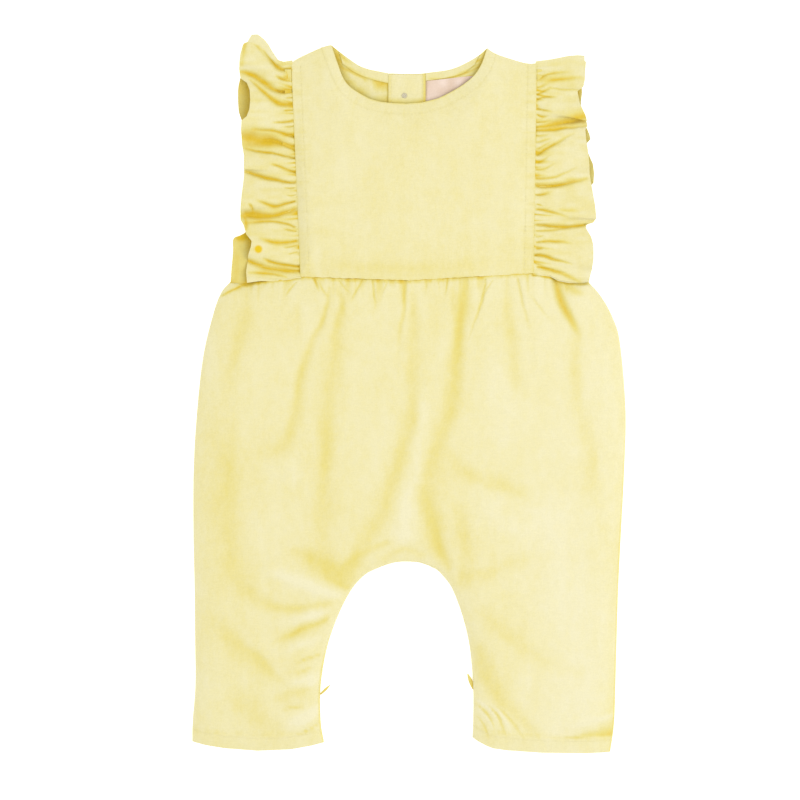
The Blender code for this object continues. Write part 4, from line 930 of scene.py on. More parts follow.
def remap(tree, socket, low, high, middle, swing):
    """A socket stretched from one range to another, and on beyond it."""
    return add_node(tree, "ShaderNodeMapRange", {
        "Value": socket, "From Min": low, "From Max": high,
        "To Min": middle - swing, "To Max": middle + swing,
    }, clamp=False).outputs["Result"]


def colour_ramp(tree, socket, *stops):
    """Colours by a socket, from stops that each give a place and a colour."""
    node = add_node(tree, "ShaderNodeValToRGB", {"Fac": socket})
    elements = node.color_ramp.elements
    elements[0].color, elements[1].color = (*stops[0][1], 1.0), (*stops[-1][1], 1.0)
    for place, colour in stops[1:-1]:
        elements.new(place).color = (*colour, 1.0)
    return node.outputs["Color"]


def new_material(name):
    """A material, its nodes, the place on the object that it looks up, and its shader."""
    material = bpy.data.materials.new(name)
    material.use_nodes = True
    tree = material.node_tree
    coords = add_node(tree, "ShaderNodeTexCoord")
    return material, tree, coords.outputs["Object"], tree.nodes["Principled BSDF"]


def cloth_material(name, weave, shades, tint=0.028, clouds=0.10, relief=0.14, mark=None):
    """Cloth whose face colour turns to painted shade in its folds and to painted highlight on its ridges."""
    material, tree, place, shader = new_material(name)
    cloth = add_node(tree, "ShaderNodeGroup", node_tree=weave)
    set_inputs(cloth, {"Vector": place})
    fold = add_node(tree, "ShaderNodeAttribute", attribute_name="fold_shade")
    # The clouds move the colour along the ramp: uneven tone, and painted shade of fine crumples.
    cloud_and_crumple_shade = remap(tree, cloth.outputs["Clouds"], 0.38, 0.62, FLAT_SHADE, clouds)
    painted_shade = add_node(tree, "ShaderNodeMath", {
        0: fold.outputs["Fac"], 1: 1.0 - FLAT_SHADE, 2: cloud_and_crumple_shade,
    }, operation="MULTIPLY_ADD", use_clamp=True)
    stops = zip((0.0, FLAT_SHADE, SOFT_SHADE, 1.0), shades)
    colour = colour_ramp(tree, painted_shade.outputs[0], *stops)
    if mark is not None:
        spot = add_node(tree, "ShaderNodeAttribute", attribute_name="dyed_mark")
        colour = add_node(tree, "ShaderNodeMix", {
            "Factor": spot.outputs["Fac"], "A": colour, "B": (*mark, 1.0),
        }, data_type="RGBA").outputs["Result"]
    slubs = remap(tree, cloth.outputs["Mask"], 0.40, 0.60, 1.0, tint)
    vary = add_node(tree, "ShaderNodeVectorMath", {0: colour, "Scale": slubs}, operation="SCALE")
    bump = add_node(tree, "ShaderNodeBump", {
        "Strength": relief, "Distance": 0.0003, "Height": cloth.outputs["Relief"],
    })
    set_inputs(shader, {
        "Base Color": vary.outputs["Vector"], "Normal": bump.outputs["Normal"],
        "Roughness": 0.85, "Sheen Weight": 0.1, "Sheen Roughness": 0.5,
        "Specular IOR Level": 0.2,
    })
    return material


THREAD_SCALE = 700.0            # wave scale of threads 0.45 mm apart
FLAT_SHADE, SOFT_SHADE = 0.20, 0.56    # places of the face and of a soft fold's painted shade on the ramp
# Ramp colours: painted highlight, the cloth's face colour, soft painted shade and deep painted shade.
HIGHLIGHT_YELLOW = (0.630, 0.595, 0.400)
FACE_YELLOW = (0.614, 0.569, 0.324)
SOFT_SHADE_YELLOW = (0.578, 0.504, 0.165)
DEEP_SHADE_YELLOW = (0.548, 0.378, 0.018)
YELLOW_AND_PAINTED_SHADES = (HIGHLIGHT_YELLOW, FACE_YELLOW, SOFT_SHADE_YELLOW, DEEP_SHADE_YELLOW)
# Colour of a small round saturated yellow spot on the left ruffle.
MARK_YELLOW = (0.60, 0.42, 0.010)
WEAVE = slub_weave_group()
YELLOW = cloth_material("yellow_cloth", WEAVE, YELLOW_AND_PAINTED_SHADES, mark=MARK_YELLOW)
# The label's ramp also runs from painted highlight over its face colour to soft and deep painted shade.
PINK = cloth_material(
    "pink_label", WEAVE,
    ((0.70, 0.60, 0.55), (0.655, 0.54, 0.475), (0.58, 0.45, 0.36), (0.43, 0.30, 0.18)),
    0.03, 0.06, 0.1,
)
THREAD = cloth_material("yellow_thread", WEAVE, YELLOW_AND_PAINTED_SHADES, 0.02, 0.02, 0.0)
SNAP_DARK, SNAP_LIGHT = (0.37, 0.335, 0.235), (0.53, 0.485, 0.355)


def snap_material():
    material, tree, place, shader = new_material("snap_grey")
    noise = add_node(tree, "ShaderNodeTexNoise", {"Scale": 900.0, "Vector": place})
    colour = colour_ramp(tree, noise.outputs["Fac"], (0.0, SNAP_DARK), (1.0, SNAP_LIGHT))
    set_inputs(shader, {"Base Color": colour, "Roughness": 0.42})
    return material


SNAP = snap_material()

# ---------------------------------------------------------------- stitches


def stitch_tree():
    """Short thread stitches laid end to end along a path."""
    tree = bpy.data.node_groups.new("stitch_run", "GeometryNodeTree")
    new_socket(tree, "Geometry", "NodeSocketGeometry", "INPUT")
    new_socket(tree, "Pitch", "NodeSocketFloat", "INPUT", 0.0026)
    new_socket(tree, "Stitch Length", "NodeSocketFloat", "INPUT", 0.0019)
    new_socket(tree, "Thread Radius", "NodeSocketFloat", "INPUT", 0.00018)
    new_socket(tree, "Thread", "NodeSocketMaterial", "INPUT")
    new_socket(tree, "Geometry", "NodeSocketGeometry", "OUTPUT")
    start = add_node(tree, "NodeGroupInput").outputs
    resample = add_node(tree, "GeometryNodeResampleCurve", mode="LENGTH")
    set_inputs(resample, {"Curve": start["Geometry"], "Length": start["Pitch"]})
    tangent = add_node(tree, "GeometryNodeInputTangent").outputs["Tangent"]
    align = add_node(tree, "FunctionNodeAlignRotationToVector", {"Vector": tangent}, axis="Z")
    half = add_node(
        tree, "ShaderNodeMath", {0: start["Stitch Length"], 1: 0.5}, operation="MULTIPLY"
    )
    radius = start["Thread Radius"]
    size = add_node(tree, "ShaderNodeCombineXYZ", {"X": radius, "Y": radius, "Z": half.outputs[0]})
    bead = add_node(tree, "GeometryNodeMeshUVSphere", {"Segments": 6, "Rings": 4, "Radius": 1.0})
    place = add_node(tree, "GeometryNodeInstanceOnPoints", {
        "Points": resample.outputs["Curve"], "Instance": bead.outputs["Mesh"],
        "Rotation": align.outputs["Rotation"], "Scale": size.outputs["Vector"],
    })
    stitches = place.outputs["Instances"]
    realize = add_node(tree, "GeometryNodeRealizeInstances", {"Geometry": stitches})
    paint = add_node(tree, "GeometryNodeSetMaterial", {
        "Geometry": realize.outputs["Geometry"], "Material": start["Thread"],
    })
    add_node(tree, "NodeGroupOutput", {"Geometry": paint.outputs["Geometry"]})
    return tree


STITCHES = stitch_tree()


def line_on(points, distance):
    """The line on a sheet that stays a distance from its first edge."""
    return np.array([
        [np.interp(distance, lengths, row[:, i]) for i in range(3)]
        for lengths, row in zip(row_lengths(points), points)
    ])


def sew(name, paths, material, pitch=2.6, length=1.9, lift=CLOTH / 2):
    """Stitches along one or more lines, as one mesh."""
    curve = bpy.data.curves.new(name, "CURVE")
    curve.dimensions = "3D"
    for path in paths:
        spline = curve.splines.new("POLY")
        spline.points.add(len(path) - 1)
        for point, (x, y, z) in zip(spline.points, path):
            point.co = (x * MM, y * MM, (z + lift) * MM, 1.0)
    guide = add_object(name + "_path", curve)
    modifier = guide.modifiers.new("stitches", "NODES")
    modifier.node_group = STITCHES
    values = {"Pitch": pitch * MM, "Stitch Length": length * MM, "Thread": material}
    for item in STITCHES.interface.items_tree:
        if item.item_type == "SOCKET" and item.in_out == "INPUT" and item.name in values:
            modifier[item.identifier] = values[item.name]
    bpy.context.view_layer.update()
    evaluated = guide.evaluated_get(bpy.context.evaluated_depsgraph_get())
    mesh = bpy.data.meshes.new_from_object(evaluated)
    mesh.name = name
    piece = add_object(name, mesh)
    bpy.data.objects.remove(guide)
    mesh.shade_smooth()
    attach(piece, "root")


# ---------------------------------------------------------------- cloth pieces


def dress(piece, *nodes, slot="yellow_cloth"):
    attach(piece, "root")
    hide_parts(*nodes)
    return piece


TUCK_REACH, TUCK_DROP = 2.0, 0.18
HEM_DEPTH, HEM_RISE = 9.0, 0.25
BAND_STEP = 0.8             # over this length a double band falls to a single layer
SEAM_CALM = 2.0             # folds die out this close to a side seam


BENDS = ((0.9, 13.0), (0.25, 4.0))      # how far, and over what length, folds stray
FOLD_POWER = 1.4                        # a fold is narrower than its bell
# Shares and powers of a fold's bell that make up its painted shade.
SHADE_POWERS = ((0.62, 1), (0.10, 0.3), (0.28, 6))


def strayed(place, x, y, seed):
    return place + sum(far * mottle(x, y, size, seed + i) for i, (far, size) in enumerate(BENDS))


def add_up(folds, x, y, seed, creases=()):
    """Relief of several folds, and the painted shade in and beside their hollows."""
    bent_x, bent_y = strayed(x, x, y, seed), strayed(y, x, y, seed + 2)
    relief, open_share = np.zeros(x.shape), np.ones(x.shape)
    for crease in creases:
        height, shade = crease_relief(bent_x, bent_y, crease)
        relief += height
        open_share *= 1.0 - shade
    for fold in folds:
        profile = fold_profile(bent_x, bent_y, fold)
        relief += fold.height * profile**FOLD_POWER
        felt = sum(part * profile**power for part, power in SHADE_POWERS)
        open_share *= 1.0 - fold.shade * felt
    return relief, 1.0 - open_share


def outer_is_seam(sections):
    """1 where the outer end is a side seam, 0 where it is the waist under the yoke."""
    waist = np.array([1.0 if row.outer_z <= SIDE_Z else 0.0 for row in sections])[:, None]
    return unit(smooth_run(waist, [0] * len(sections), [row.cells for row in sections]))


def waist_gathers(x, below):
    """Small uneven gathers that fade out under the waist seam, and the painted shade in their hollows."""
    wave = wander(x, 1.7, 11) + 0.8 * wander(x, 4.1, 12)
    reach = 7.0 + 6.0 * wander(x, 5.0, 13)
    fade = bell(below, reach)
    return 0.26 * (wave - 0.5) * fade, 0.34 * unit(-wave) * fade


def hang_hems(points):
    """Lets both hems hang in their curve. Gives how far each point is from the sheet's edges."""
    lengths = row_lengths(points)
    share = lengths / lengths[:, -1:]
    down_left = row_lengths(points.transpose(1, 0, 2)).T
    down_right = down_left[-1:] - down_left
    for down, hem in ((down_left, HEM_LEFT), (down_right, HEM_RIGHT)):
        points[..., 1] += along_line(hem, share) * bell(down, HEM_REACH)
    return lengths, lengths[:, -1:] - lengths, down_left, down_right


def make_trouser_front(tabs):
    points = sheet_points(TROUSER_FRONT, TROUSER_ACROSS, crowd=(1.5, 4.0))
    lengths, from_outer, down_left, down_right = hang_hems(points)
    at_side = outer_is_seam(TROUSER_FRONT)
    tucked = (1.0 - at_side) * unit(1.0 - from_outer / TUCK_REACH)
    points[..., 1] += TUCK * tucked
    points[..., 2] -= TUCK_DROP * tucked
    x, y = points[..., 0].copy(), points[..., 1].copy()
    calm = unit(lengths / SEAM_CALM)
    calm = calm * np.maximum(unit(from_outer / SEAM_CALM), 1.0 - at_side)
    relief, painted_shade = add_up(TROUSER_FOLDS, x, y, 301, TROUSER_CREASES)
    # Painted light: paler towards the right and darker towards the left, with painted shade in a band along
    # the right side seam.
    painted_shade -= 0.09 * unit((x - 40.0) / 60.0)
    painted_shade += 0.03 * unit((-x - 50.0) / 50.0)
    painted_shade += 0.13 * at_side * (x > 0.0) * bell(from_outer, 7.0)
    below = np.maximum(from_outer - TUCK, 0.0)
    gathers, gather_shade = waist_gathers(x, below)
    relief += (1.0 - at_side) * gathers
    # Painted shade in the gathers' hollows and along the waist seam, deeper beside the ruffles.
    beside_yoke = unit((np.abs(x - YOKE_MIDDLE) - YOKE_HALF) / 12.0)
    seam_shade = (0.34 + 0.4 * beside_yoke + 0.2 * wander(x, 2.4, 14)) * bell(below, 1.0)
    painted_shade = deepened(painted_shade, (1.0 - at_side) * np.clip(gather_shade + seam_shade, 0.0, 0.9))
    relief += uneven(x, y, 21, (0.22, 34.0), (0.13, 15.0), (0.05, 6.0))
    relief += 0.05 * mottle(x, 0.35 * y, 3.4, 24)
    for down in (down_left, down_right):
        band = unit((HEM_DEPTH - down) / BAND_STEP)
        groove = bell(down - HEM_DEPTH + BAND_STEP / 2, 1.1)
        pucker = wander(x, 1.9, 31) * bell(down - HEM_DEPTH, 4.0)
        relief += HEM_RISE * band - 0.22 * groove + 0.11 * pucker
        # Painted shade, a little over the hem band and more in its stitch groove.
        painted_shade += 0.05 * band + 0.10 * groove * (1.0 + pucker)
    points[..., 2] += relief * calm
    # Painted shadow along the left inner leg seam, and painted shade in a thin line along the right side
    # seam.
    inner_leg_shadow = (x < 0.0) * unit((-160.0 - y) / 30.0) * bell(lengths, 1.1)
    side_seam_shade = at_side * (x > 0.0) * unit((10.0 - y) / 80.0)
    painted_shade = painted_shade * calm + 0.5 * inner_leg_shadow
    painted_shade += 0.34 * side_seam_shade * bell(from_outer - 0.7, 0.6)
    front = cloth_mesh("trouser_front_cloth", points, WALL_TURNED, YELLOW, painted_shade, turned=3)
    dress(front, "trouser_front")

    across = points.transpose(1, 0, 2)
    left_hem = line_on(across, HEM_DEPTH - 0.5)
    right_hem = line_on(across[:, ::-1], HEM_DEPTH - 0.5)
    sew("hem_stitches", [left_hem, right_hem], THREAD, lift=0.05)


def make_trouser_back():
    points = sheet_points(TROUSER_FRONT, BACK_ACROSS, fineness=0.5)
    lengths, from_outer = hang_hems(points)[:2]
    x, y = points[..., 0], points[..., 1]
    inside = unit(np.minimum(lengths, from_outer) / 12.0)
    creases = np.maximum(mottle(x, y, 26.0, 41) - 0.25, 0.0) + 0.3 * mottle(x, y, 9.0, 42) ** 2
    points[..., 2] = BACK_Z + 0.8 * inside * creases
    cloth = cloth_mesh("trouser_back_cloth", points, CLOTH, YELLOW)
    dress(cloth, "trouser_back")


NECK_BAND, SIDE_BAND = 7.6, 6.4         # from an edge of the yoke to its stitches
SIDE_STITCH_TOP, SIDE_STITCH_BOTTOM = 229.0, 86.0
GROOVE = 0.10                           # how deep stitches pull the cloth down


def seam_puckers(along, away, band, seed, height=0.10):
    """Fine ripples across a stitched band."""
    ripple = wander(along, 1.5, seed) + 0.6 * wander(along, 3.1, seed + 1)
    return height * ripple * bell(away - 0.6 * band, 0.75 * band)


def make_yoke_front():
    points = sheet_points(YOKE_FRONT, YOKE_ACROSS, roll=eased)
    x, y = points[..., 0].copy(), points[..., 1].copy()
    lengths = row_lengths(points)
    relief, painted_shade = add_up(YOKE_FOLDS, x, y, 311)
    # Painted shade, a little all over and deeper towards the waist.
    painted_shade += 0.03 + 0.07 * unit((120.0 - y) / 32.0)
    relief += uneven(x, y, 51, (0.10, 30.0), (0.06, 11.0), (0.02, 4.0))
    steps = np.hypot(np.diff(points[:, 0, 0]), np.diff(points[:, 0, 1]))
    along_neck = np.concatenate([[0.0], np.cumsum(steps)])[:, None] + 0.0 * x
    groove = bell(lengths - NECK_BAND, 0.8)
    puckers = seam_puckers(along_neck, lengths, NECK_BAND, 61, 0.09)
    relief += 0.12 * unit((NECK_BAND - lengths) / BAND_STEP) - GROOVE * groove + puckers
    # Painted shade on the neckline's edge, and in the stitch groove and the hollows of the puckers.
    painted_shade += 0.35 * bell(lengths, 0.5)
    painted_shade += 0.05 * groove + 0.7 * np.clip(-puckers, 0.0, 0.1)
    for seam, seed in ((LEFT_SEAM, 71), (RIGHT_SEAM, 81)):
        inward = (seam_x(seam, y) - x) * seam.way
        groove = bell(inward - SIDE_BAND, 0.7)
        puckers = seam_puckers(y, inward, SIDE_BAND, seed, 0.13)
        relief += 0.10 * unit((SIDE_BAND - inward) / BAND_STEP) - GROOVE * groove + puckers
        # Painted shade along the seam edges to the ruffles, in the stitch groove and in the puckers' hollows.
        edge = bell(inward, 0.9)
        painted_shade += 0.06 * groove + 0.9 * np.clip(-puckers, 0.0, 0.15) + 0.18 * edge
    from_waist = lengths[:, -1:] - lengths
    at_waist = unit((np.abs(points[:, -1:, 0] - YOKE_MIDDLE) - YOKE_HALF) / -3.0)
    waves = wander(x, 1.6, 91) + 0.7 * wander(x, 4.2, 92)
    relief += 0.16 * at_waist * waves * bell(from_waist, 3.0)
    points[..., 1] += 0.22 * at_waist * wander(x, 2.1, 93) * bell(from_waist, 2.0)
    # Painted shade in the hollows of the waist gathers.
    painted_shade += at_waist * (0.08 + 0.16 * np.clip(waves, -0.5, 1.0)) * bell(from_waist, 0.9)
    points[..., 2] += relief
    front = cloth_mesh("yoke_front_cloth", points, WALL_TURNED, YELLOW, painted_shade, turned=3)
    dress(front, "yoke_front")
    lines = [line_on(points, NECK_BAND)]
    flat_xy = points.reshape(-1, 3)
    for seam in (LEFT_SEAM, RIGHT_SEAM):
        line = []
        for y_at in np.linspace(SIDE_STITCH_TOP, SIDE_STITCH_BOTTOM, 90):
            x_at = seam_x(seam, y_at) - seam.way * SIDE_BAND
            nearest = np.argmin((flat_xy[:, 0] - x_at) ** 2 + (flat_xy[:, 1] - y_at) ** 2)
            line.append([x_at, y_at, flat_xy[nearest, 2]])
        lines.append(np.array(line))
    sew("yoke_stitches", lines, THREAD, lift=0.02)
    ends = points[:, -1]
    left_end, right_end = ends[ends[:, 0] < -60.0], ends[ends[:, 0] > 70.0]
    return left_end[:, 1:].tolist(), right_end[:, 1:].tolist()


SINK_REACH, SINK_DOWN = 9.0, 4.0


def lying_sheet(name, node, sections, across, z, seed, height=0.25,
                folds=(), shade=0.0, sunk=0.0):
    """A flat piece on one layer, slightly uneven. A sunk one ends under the next piece."""
    points = sheet_points(sections, across)
    lengths = row_lengths(points)
    down = row_lengths(points.transpose(1, 0, 2)).T
    under = unit(1.0 - (down[-1:] - down) / SINK_REACH) if sunk else 0.0
    points[..., 1] -= SINK_DOWN * under
    x, y = points[..., 0].copy(), points[..., 1].copy()
    relief, painted_shade = add_up(folds, x, y, seed + 300)
    inside = unit(np.minimum(lengths, lengths[:, -1:] - lengths) / 6.0)
    relief = relief + height * inside * (1.0 + mottle(x, y, 14.0, seed)) / 2
    points[..., 2] = z + relief - sunk * under
    piece = cloth_mesh(name, points, CLOTH, YELLOW, painted_shade + shade)
    dress(piece, node)
    return points


PLACKET_Z, FACING_Z = 1.35, 1.05
SHOULDER_FOLDS = fold_table(
    ("left_corner", -53, 244.5, -48, 232.5, -43.5, 223.5, 1.6, 2.6, -0.2, 0.9, 0.3, 0.75),
    ("left_edge", -44, 224, -36, 214.5, -28, 208.5, 1.4, 1.6, -0.1, 0.8, 0.2, 0.25),
    ("right_corner", 54, 243, 50.5, 233, 46, 226, 2.4, 1.4, -0.2, 0.8, 0.3, 0.55),
    ("facing_left_line", -49.5, 231.5, -34.5, 223, -15, 218, 0.8, 0.8, -0.1, 0.9, 0.2, 0.6),
    ("facing_right_line", 14, 219.5, 32, 223, 50, 230.5, 0.9, 0.9, -0.1, 0.6, 0.9, 0.6),
)
FACING_FOLDS = fold_table(
    ("left_rim", -49.5, 232.5, -34.5, 223.5, -15, 219, 0.8, 0.8, 0, 0.9, 0.6, 0.6),
    ("right_rim", 14, 220.5, 32, 223.5, 50, 231.5, 0.8, 0.8, 0, 0.6, 0.9, 0.55),
    ("left_corner", -53.5, 245, -46.5, 236.5, -40, 231.5, 1.7, 1.9, -0.2, 0.9, 0.2, 0.7),
    ("left_lower", -48.5, 232.5, -40, 227.5, -33, 224.5, 1, 1.2, -0.1, 1, 0.2, 0.45),
    ("right_corner", 53, 241.5, 48.5, 235, 42, 230, 1.6, 1.6, -0.2, 0.8, 0.2, 0.4),
)


def make_backs():
    lying_sheet(
        "yoke_back_left_cloth", "yoke_back_left", BACK_LEFT, 44, BACK_Z, 101,
        height=0.15, folds=SHOULDER_FOLDS, shade=0.10,
    )
    lying_sheet(
        "yoke_back_right_cloth", "yoke_back_right", BACK_RIGHT, 60, BACK_Z, 102,
        height=0.15, folds=SHOULDER_FOLDS, shade=0.10,
    )
    left = lying_sheet(
        "neck_facing_left_cloth", "neck_facing_left", FACING_LEFT, 12, FACING_Z, 103,
        0.3, FACING_FOLDS, 0.08,
    )
    right = lying_sheet(
        "neck_facing_right_cloth", "neck_facing_right", FACING_RIGHT, 12, FACING_Z, 104,
        0.3, FACING_FOLDS, 0.05,
    )
    sew("facing_stitches", [line_on(left, 1.6), line_on(right, 1.6)], THREAD, lift=0.12)


def side_panel_sections(seam, waist_y, corner):
    """Rows of the piece between a ruffle seam and the armhole and side seam."""
    root_x = seam_x(seam, seam.waist_y) + seam.way * GAP
    full_width = abs(corner[0] - root_x)
    bottom_y = waist_y + WAIST_GAP
    full_drop = corner[1] + WAIST_GAP - bottom_y
    rows = []
    for panel in SIDE_PANEL:
        y = seam.top_y + (bottom_y - seam.top_y) * panel.down
        x = seam_x(seam, y) + seam.way * GAP
        outer_x = x + seam.way * panel.width * full_width
        outer_y = y + panel.sunk * full_drop
        rows.append(Section(panel.name, x, y, outer_x, outer_y, 9))
    return rows


def make_side_panels():
    sides = (
        ("left", LEFT_SEAM, WAIST_LEFT_Y, LEFT_CORNER, 111, SIDE_FOLDS_LEFT),
        ("right", RIGHT_SEAM, WAIST_RIGHT_Y, RIGHT_CORNER, 121, SIDE_FOLDS_RIGHT),
    )
    for side, seam, waist_y, corner, seed, folds in sides:
        sections = side_panel_sections(seam, waist_y, corner)
        for layer, z, sunk in (("front", THIRD_LAYER, 2.2), ("back", SECOND_LAYER, 1.0)):
            lying_sheet(
                f"side_{layer}_{side}_cloth", f"side_{layer}_{side}", sections, 40, z,
                seed, 0.5, folds, 0.44, sunk,
            )


# Where the free edge of a ruffle is, as (height along the garment, place across it)
EDGE_LEFT = [
    (252.5, -111), (249, -114), (244, -116.5), (238, -118), (228, -119), (221, -118),
    (218, -113.5), (213, -111.5), (206, -111), (199, -111.5), (194, -113.5), (191, -117),
    (184, -117.5), (175, -117), (167, -115.5), (153, -115.5), (140, -117), (128, -118),
    (122, -118), (118, -115.5), (112, -114), (107, -110), (103, -110.5), (97, -112.5),
    (86, -114), (78, -113.5),
]
EDGE_LEFT_BACK = [
    (253, -109.5), (247, -113), (234, -114.5), (223, -118), (215, -120), (206, -120),
    (198, -119.5), (191, -117), (185, -113.5), (80, -113.5),
]
EDGE_RIGHT = [
    (236.5, 124.5), (228, 123.5), (220, 123), (215, 122), (212, 118), (204, 119.5),
    (199, 121.5), (195, 123.5), (188, 125), (185, 123.5), (178, 124), (168, 125.5),
    (154, 126.5), (145, 128), (133, 130), (123, 131), (120, 129), (118.5, 124),
    (116, 124), (110, 127.5), (104, 129), (95, 129), (87, 128), (79, 126),
]
EDGE_RIGHT_BACK = [
    (232, 123), (220, 121), (211, 121.5), (204, 120.5), (197, 122), (188, 124), (183, 126.5),
    (178.5, 127.5), (175, 124), (167, 126.5), (162, 129), (155, 130), (148, 129.5),
    (144, 125.5), (125, 125.5), (120, 122), (101, 124), (80, 123),
]
# How far the ends of a ruffle leave a straight line, as (share from seam to edge, shift)
TOP_LEFT = [
    (0, 0), (0.1, -2), (0.2, -4.5), (0.35, -6), (0.5, -2.5), (0.6, 0.5), (0.7, 2),
    (0.85, 2.5), (1, -0.5),
]
TOP_RIGHT = [(0, 0), (0.33, 0.4), (0.67, 1.5), (0.87, 1.2), (1, 0.5)]
LOW_LEFT = [(0, 0), (0.2, -0.6), (0.5, -0.8), (0.75, 0.4), (1, 0)]
LOW_RIGHT = [(0, 0), (0.31, 0.5), (0.46, -1.9), (0.65, -2.4), (0.84, -1.5), (1, 0)]
TOP_REACH, LOW_REACH = 16.0, 8.0
ROOT_TUCK, ROOT_DROP, ROOT_REACH = 0.7, 0.45, 6.0
# Painted highlight laid on a ruffle's raised tongues.
TONGUE_HIGHLIGHT = 0.2
MARK_X, MARK_Y, MARK_RADIUS, MARK_EDGE = -105.3, 101.3, 2.7, 1.2
Side = namedtuple("Side", "name rows seam folds creases edge edge_back top low seed face_shade back_shade")


def ruffle_points(side):
    """A gathered strip. Its tongues rise from the seam to the free edge and lean over."""
    seam = side.seam
    fields = [(seam_x(seam, row.seam_y) - seam.way * ROOT_TUCK, *row[1:6]) for row in side.rows]
    cells = [row.cells for row in side.rows]
    run = smooth_run(np.array(fields, float), [0] * len(side.rows), cells)
    steps = [
        (row.rise, row.lap, 2.0 * np.pi * step / row.cells, row.rise > 0.0)
        for row in side.rows[:-1] for step in range(row.cells)
    ]
    rise, lap, phase, front = np.array(steps + steps[-1:], float).T[..., None]
    lift = (1.0 - np.cos(phase)) / 2.0
    v = np.linspace(0.0, 1.0, RUFFLE_ACROSS + 1)[None, :]
    root, edge = run[:, None, 0:3], run[:, None, 3:6]
    points = root + (edge - root) * v[..., None]
    points[..., 1] -= lap * lift * v
    points[..., 2] += rise * lift * (SEAM_RISE + (1.0 - SEAM_RISE) * v)
    return points, v, front, run


def make_ruffle(side, yoke_edge):
    seam = side.seam
    points, v, front, run = ruffle_points(side)
    shoulder = [row.name for row in side.rows].index("over_shoulder")
    top_row = sum(row.cells for row in side.rows[:shoulder])
    from_top = np.abs(run[:, 4] - run[top_row, 4])[:, None]
    from_low = np.abs(run[:, 4] - run[-1, 4])[:, None]
    points[..., 1] += along_line(side.top, v) * bell(from_top, TOP_REACH)
    points[..., 1] += front * along_line(side.low, v) * bell(from_low, LOW_REACH)
    edge_y = points[:, -1:, 1]
    wanted = np.where(
        front > 0.5, along_line(side.edge, edge_y), along_line(side.edge_back, edge_y)
    )
    points[..., 0] += (wanted - points[:, -1:, 0]) * v**1.5
    from_seam = np.abs(points[..., 0] - points[:, :1, 0])
    root_z = along_line(yoke_edge, points[:, :1, 1]) - ROOT_DROP
    points[..., 2] += front * (root_z - points[:, :1, 2]) * bell(from_seam, ROOT_REACH)
    x, y = points[..., 0].copy(), points[..., 1].copy()
    relief, painted_shade = add_up(side.folds, x, y, side.seed + 20, side.creases)
    root_y = points[:, :1, 1]
    gather = wander(root_y, 1.5, side.seed) + 0.7 * wander(root_y, 3.3, side.seed + 1)
    reach = 0.18 + 0.14 * wander(root_y, 5.0, side.seed + 3)
    fade = bell(v, reach)
    fine = 0.42 * (gather - 0.3) * fade * np.clip(v / 0.06, 0.15, 1.0)
    relief += fine + 0.20 * mottle(x, y, 12.0, side.seed + 2) + 0.06 * mottle(x, y, 4.0, side.seed + 4)
    points[..., 2] += front * relief
    # Painted shade along the seam and in the hollows of the gathers.
    seam_line = bell(from_seam - ROOT_TUCK, 0.8)
    gathered = 0.9 * unit(-gather - 0.1) * fade + 0.08 * seam_line
    painted_shade = deepened(painted_shade, gathered)
    name = side.name
    # Painted shade over the face, lifted by painted highlight on raised tongues, with painted shade in fine
    # streaks.
    painted_shade += side.face_shade - TONGUE_HIGHLIGHT * unit(relief + 0.3)
    painted_shade += 0.14 * mottle(0.3 * x, y, 2.6, side.seed + 7)
    over = unit((y - side.rows[shoulder].seam_y + 2.0) / 4.0)
    painted_shade = front * painted_shade + (1.0 - front) * side.back_shade * (1.0 - over)
    piece = cloth_mesh(f"ruffle_{name}_cloth", points, CLOTH, YELLOW, painted_shade)
    dress(piece, "ruffle_" + name)
    # A small round saturated yellow spot on the left ruffle's face.
    away = np.hypot(x - MARK_X, y - MARK_Y)
    yellow_spot_share = front * unit((MARK_RADIUS - away) / MARK_EDGE + 0.5)
    write_values(piece.data, "dyed_mark", yellow_spot_share)


def make_ruffles(yoke_edges):
    make_ruffle(Side(
        "left", RUFFLE_LEFT, LEFT_SEAM, LEFT_RUFFLE_FOLDS, LEFT_RUFFLE_CREASES,
        EDGE_LEFT, EDGE_LEFT_BACK, TOP_LEFT, LOW_LEFT, 201, 0.19, 0.50,
    ), yoke_edges[0])
    make_ruffle(Side(
        "right", RUFFLE_RIGHT, RIGHT_SEAM, RIGHT_RUFFLE_FOLDS, RIGHT_RUFFLE_CREASES,
        EDGE_RIGHT, EDGE_RIGHT_BACK, TOP_RIGHT, LOW_RIGHT, 211, 0.15, 0.2,
    ), yoke_edges[1])


# ---------------------------------------------------------------- back fastening and trims
PLACKET_TOP, PLACKET_BOTTOM, PLACKET_LAP = 224.3, 80.6, 0.45
EDGE_STITCH = 1.6               # how far the placket's stitches are from its edges
SNAP_X, SNAP_YS = -3.2, (209.3, 164.0, 118.0)
SNAP_LIFT, SNAP_SIDES = 0.1, 28
SNAP_PROFILE = [
    (0.0, 0.55), (0.7, 0.55), (0.85, 0.8), (1.3, 0.95), (1.7, 0.75), (1.9, 0.3), (1.9, 0.0),
]
LABEL_X, LABEL_WIDTH, LABEL_DEPTH = 11.6, 34.0, 19.0
LABEL_TOP, LABEL_SLANT, LABEL_Z = 219.6, 0.11, 0.78


def strip_points(x1, x2, y1, y2, z, cells, slant=0.0):
    """A flat rectangle whose edges may slant."""
    xs = np.linspace(x1, x2, cells[0] + 1)
    ys = np.linspace(y1, y2, cells[1] + 1)
    grid_x, grid_y = np.meshgrid(xs, ys, indexing="ij")
    grid_y = grid_y + slant * (grid_x - x1)
    return np.stack([grid_x, grid_y, np.full(grid_x.shape, z)], axis=-1)


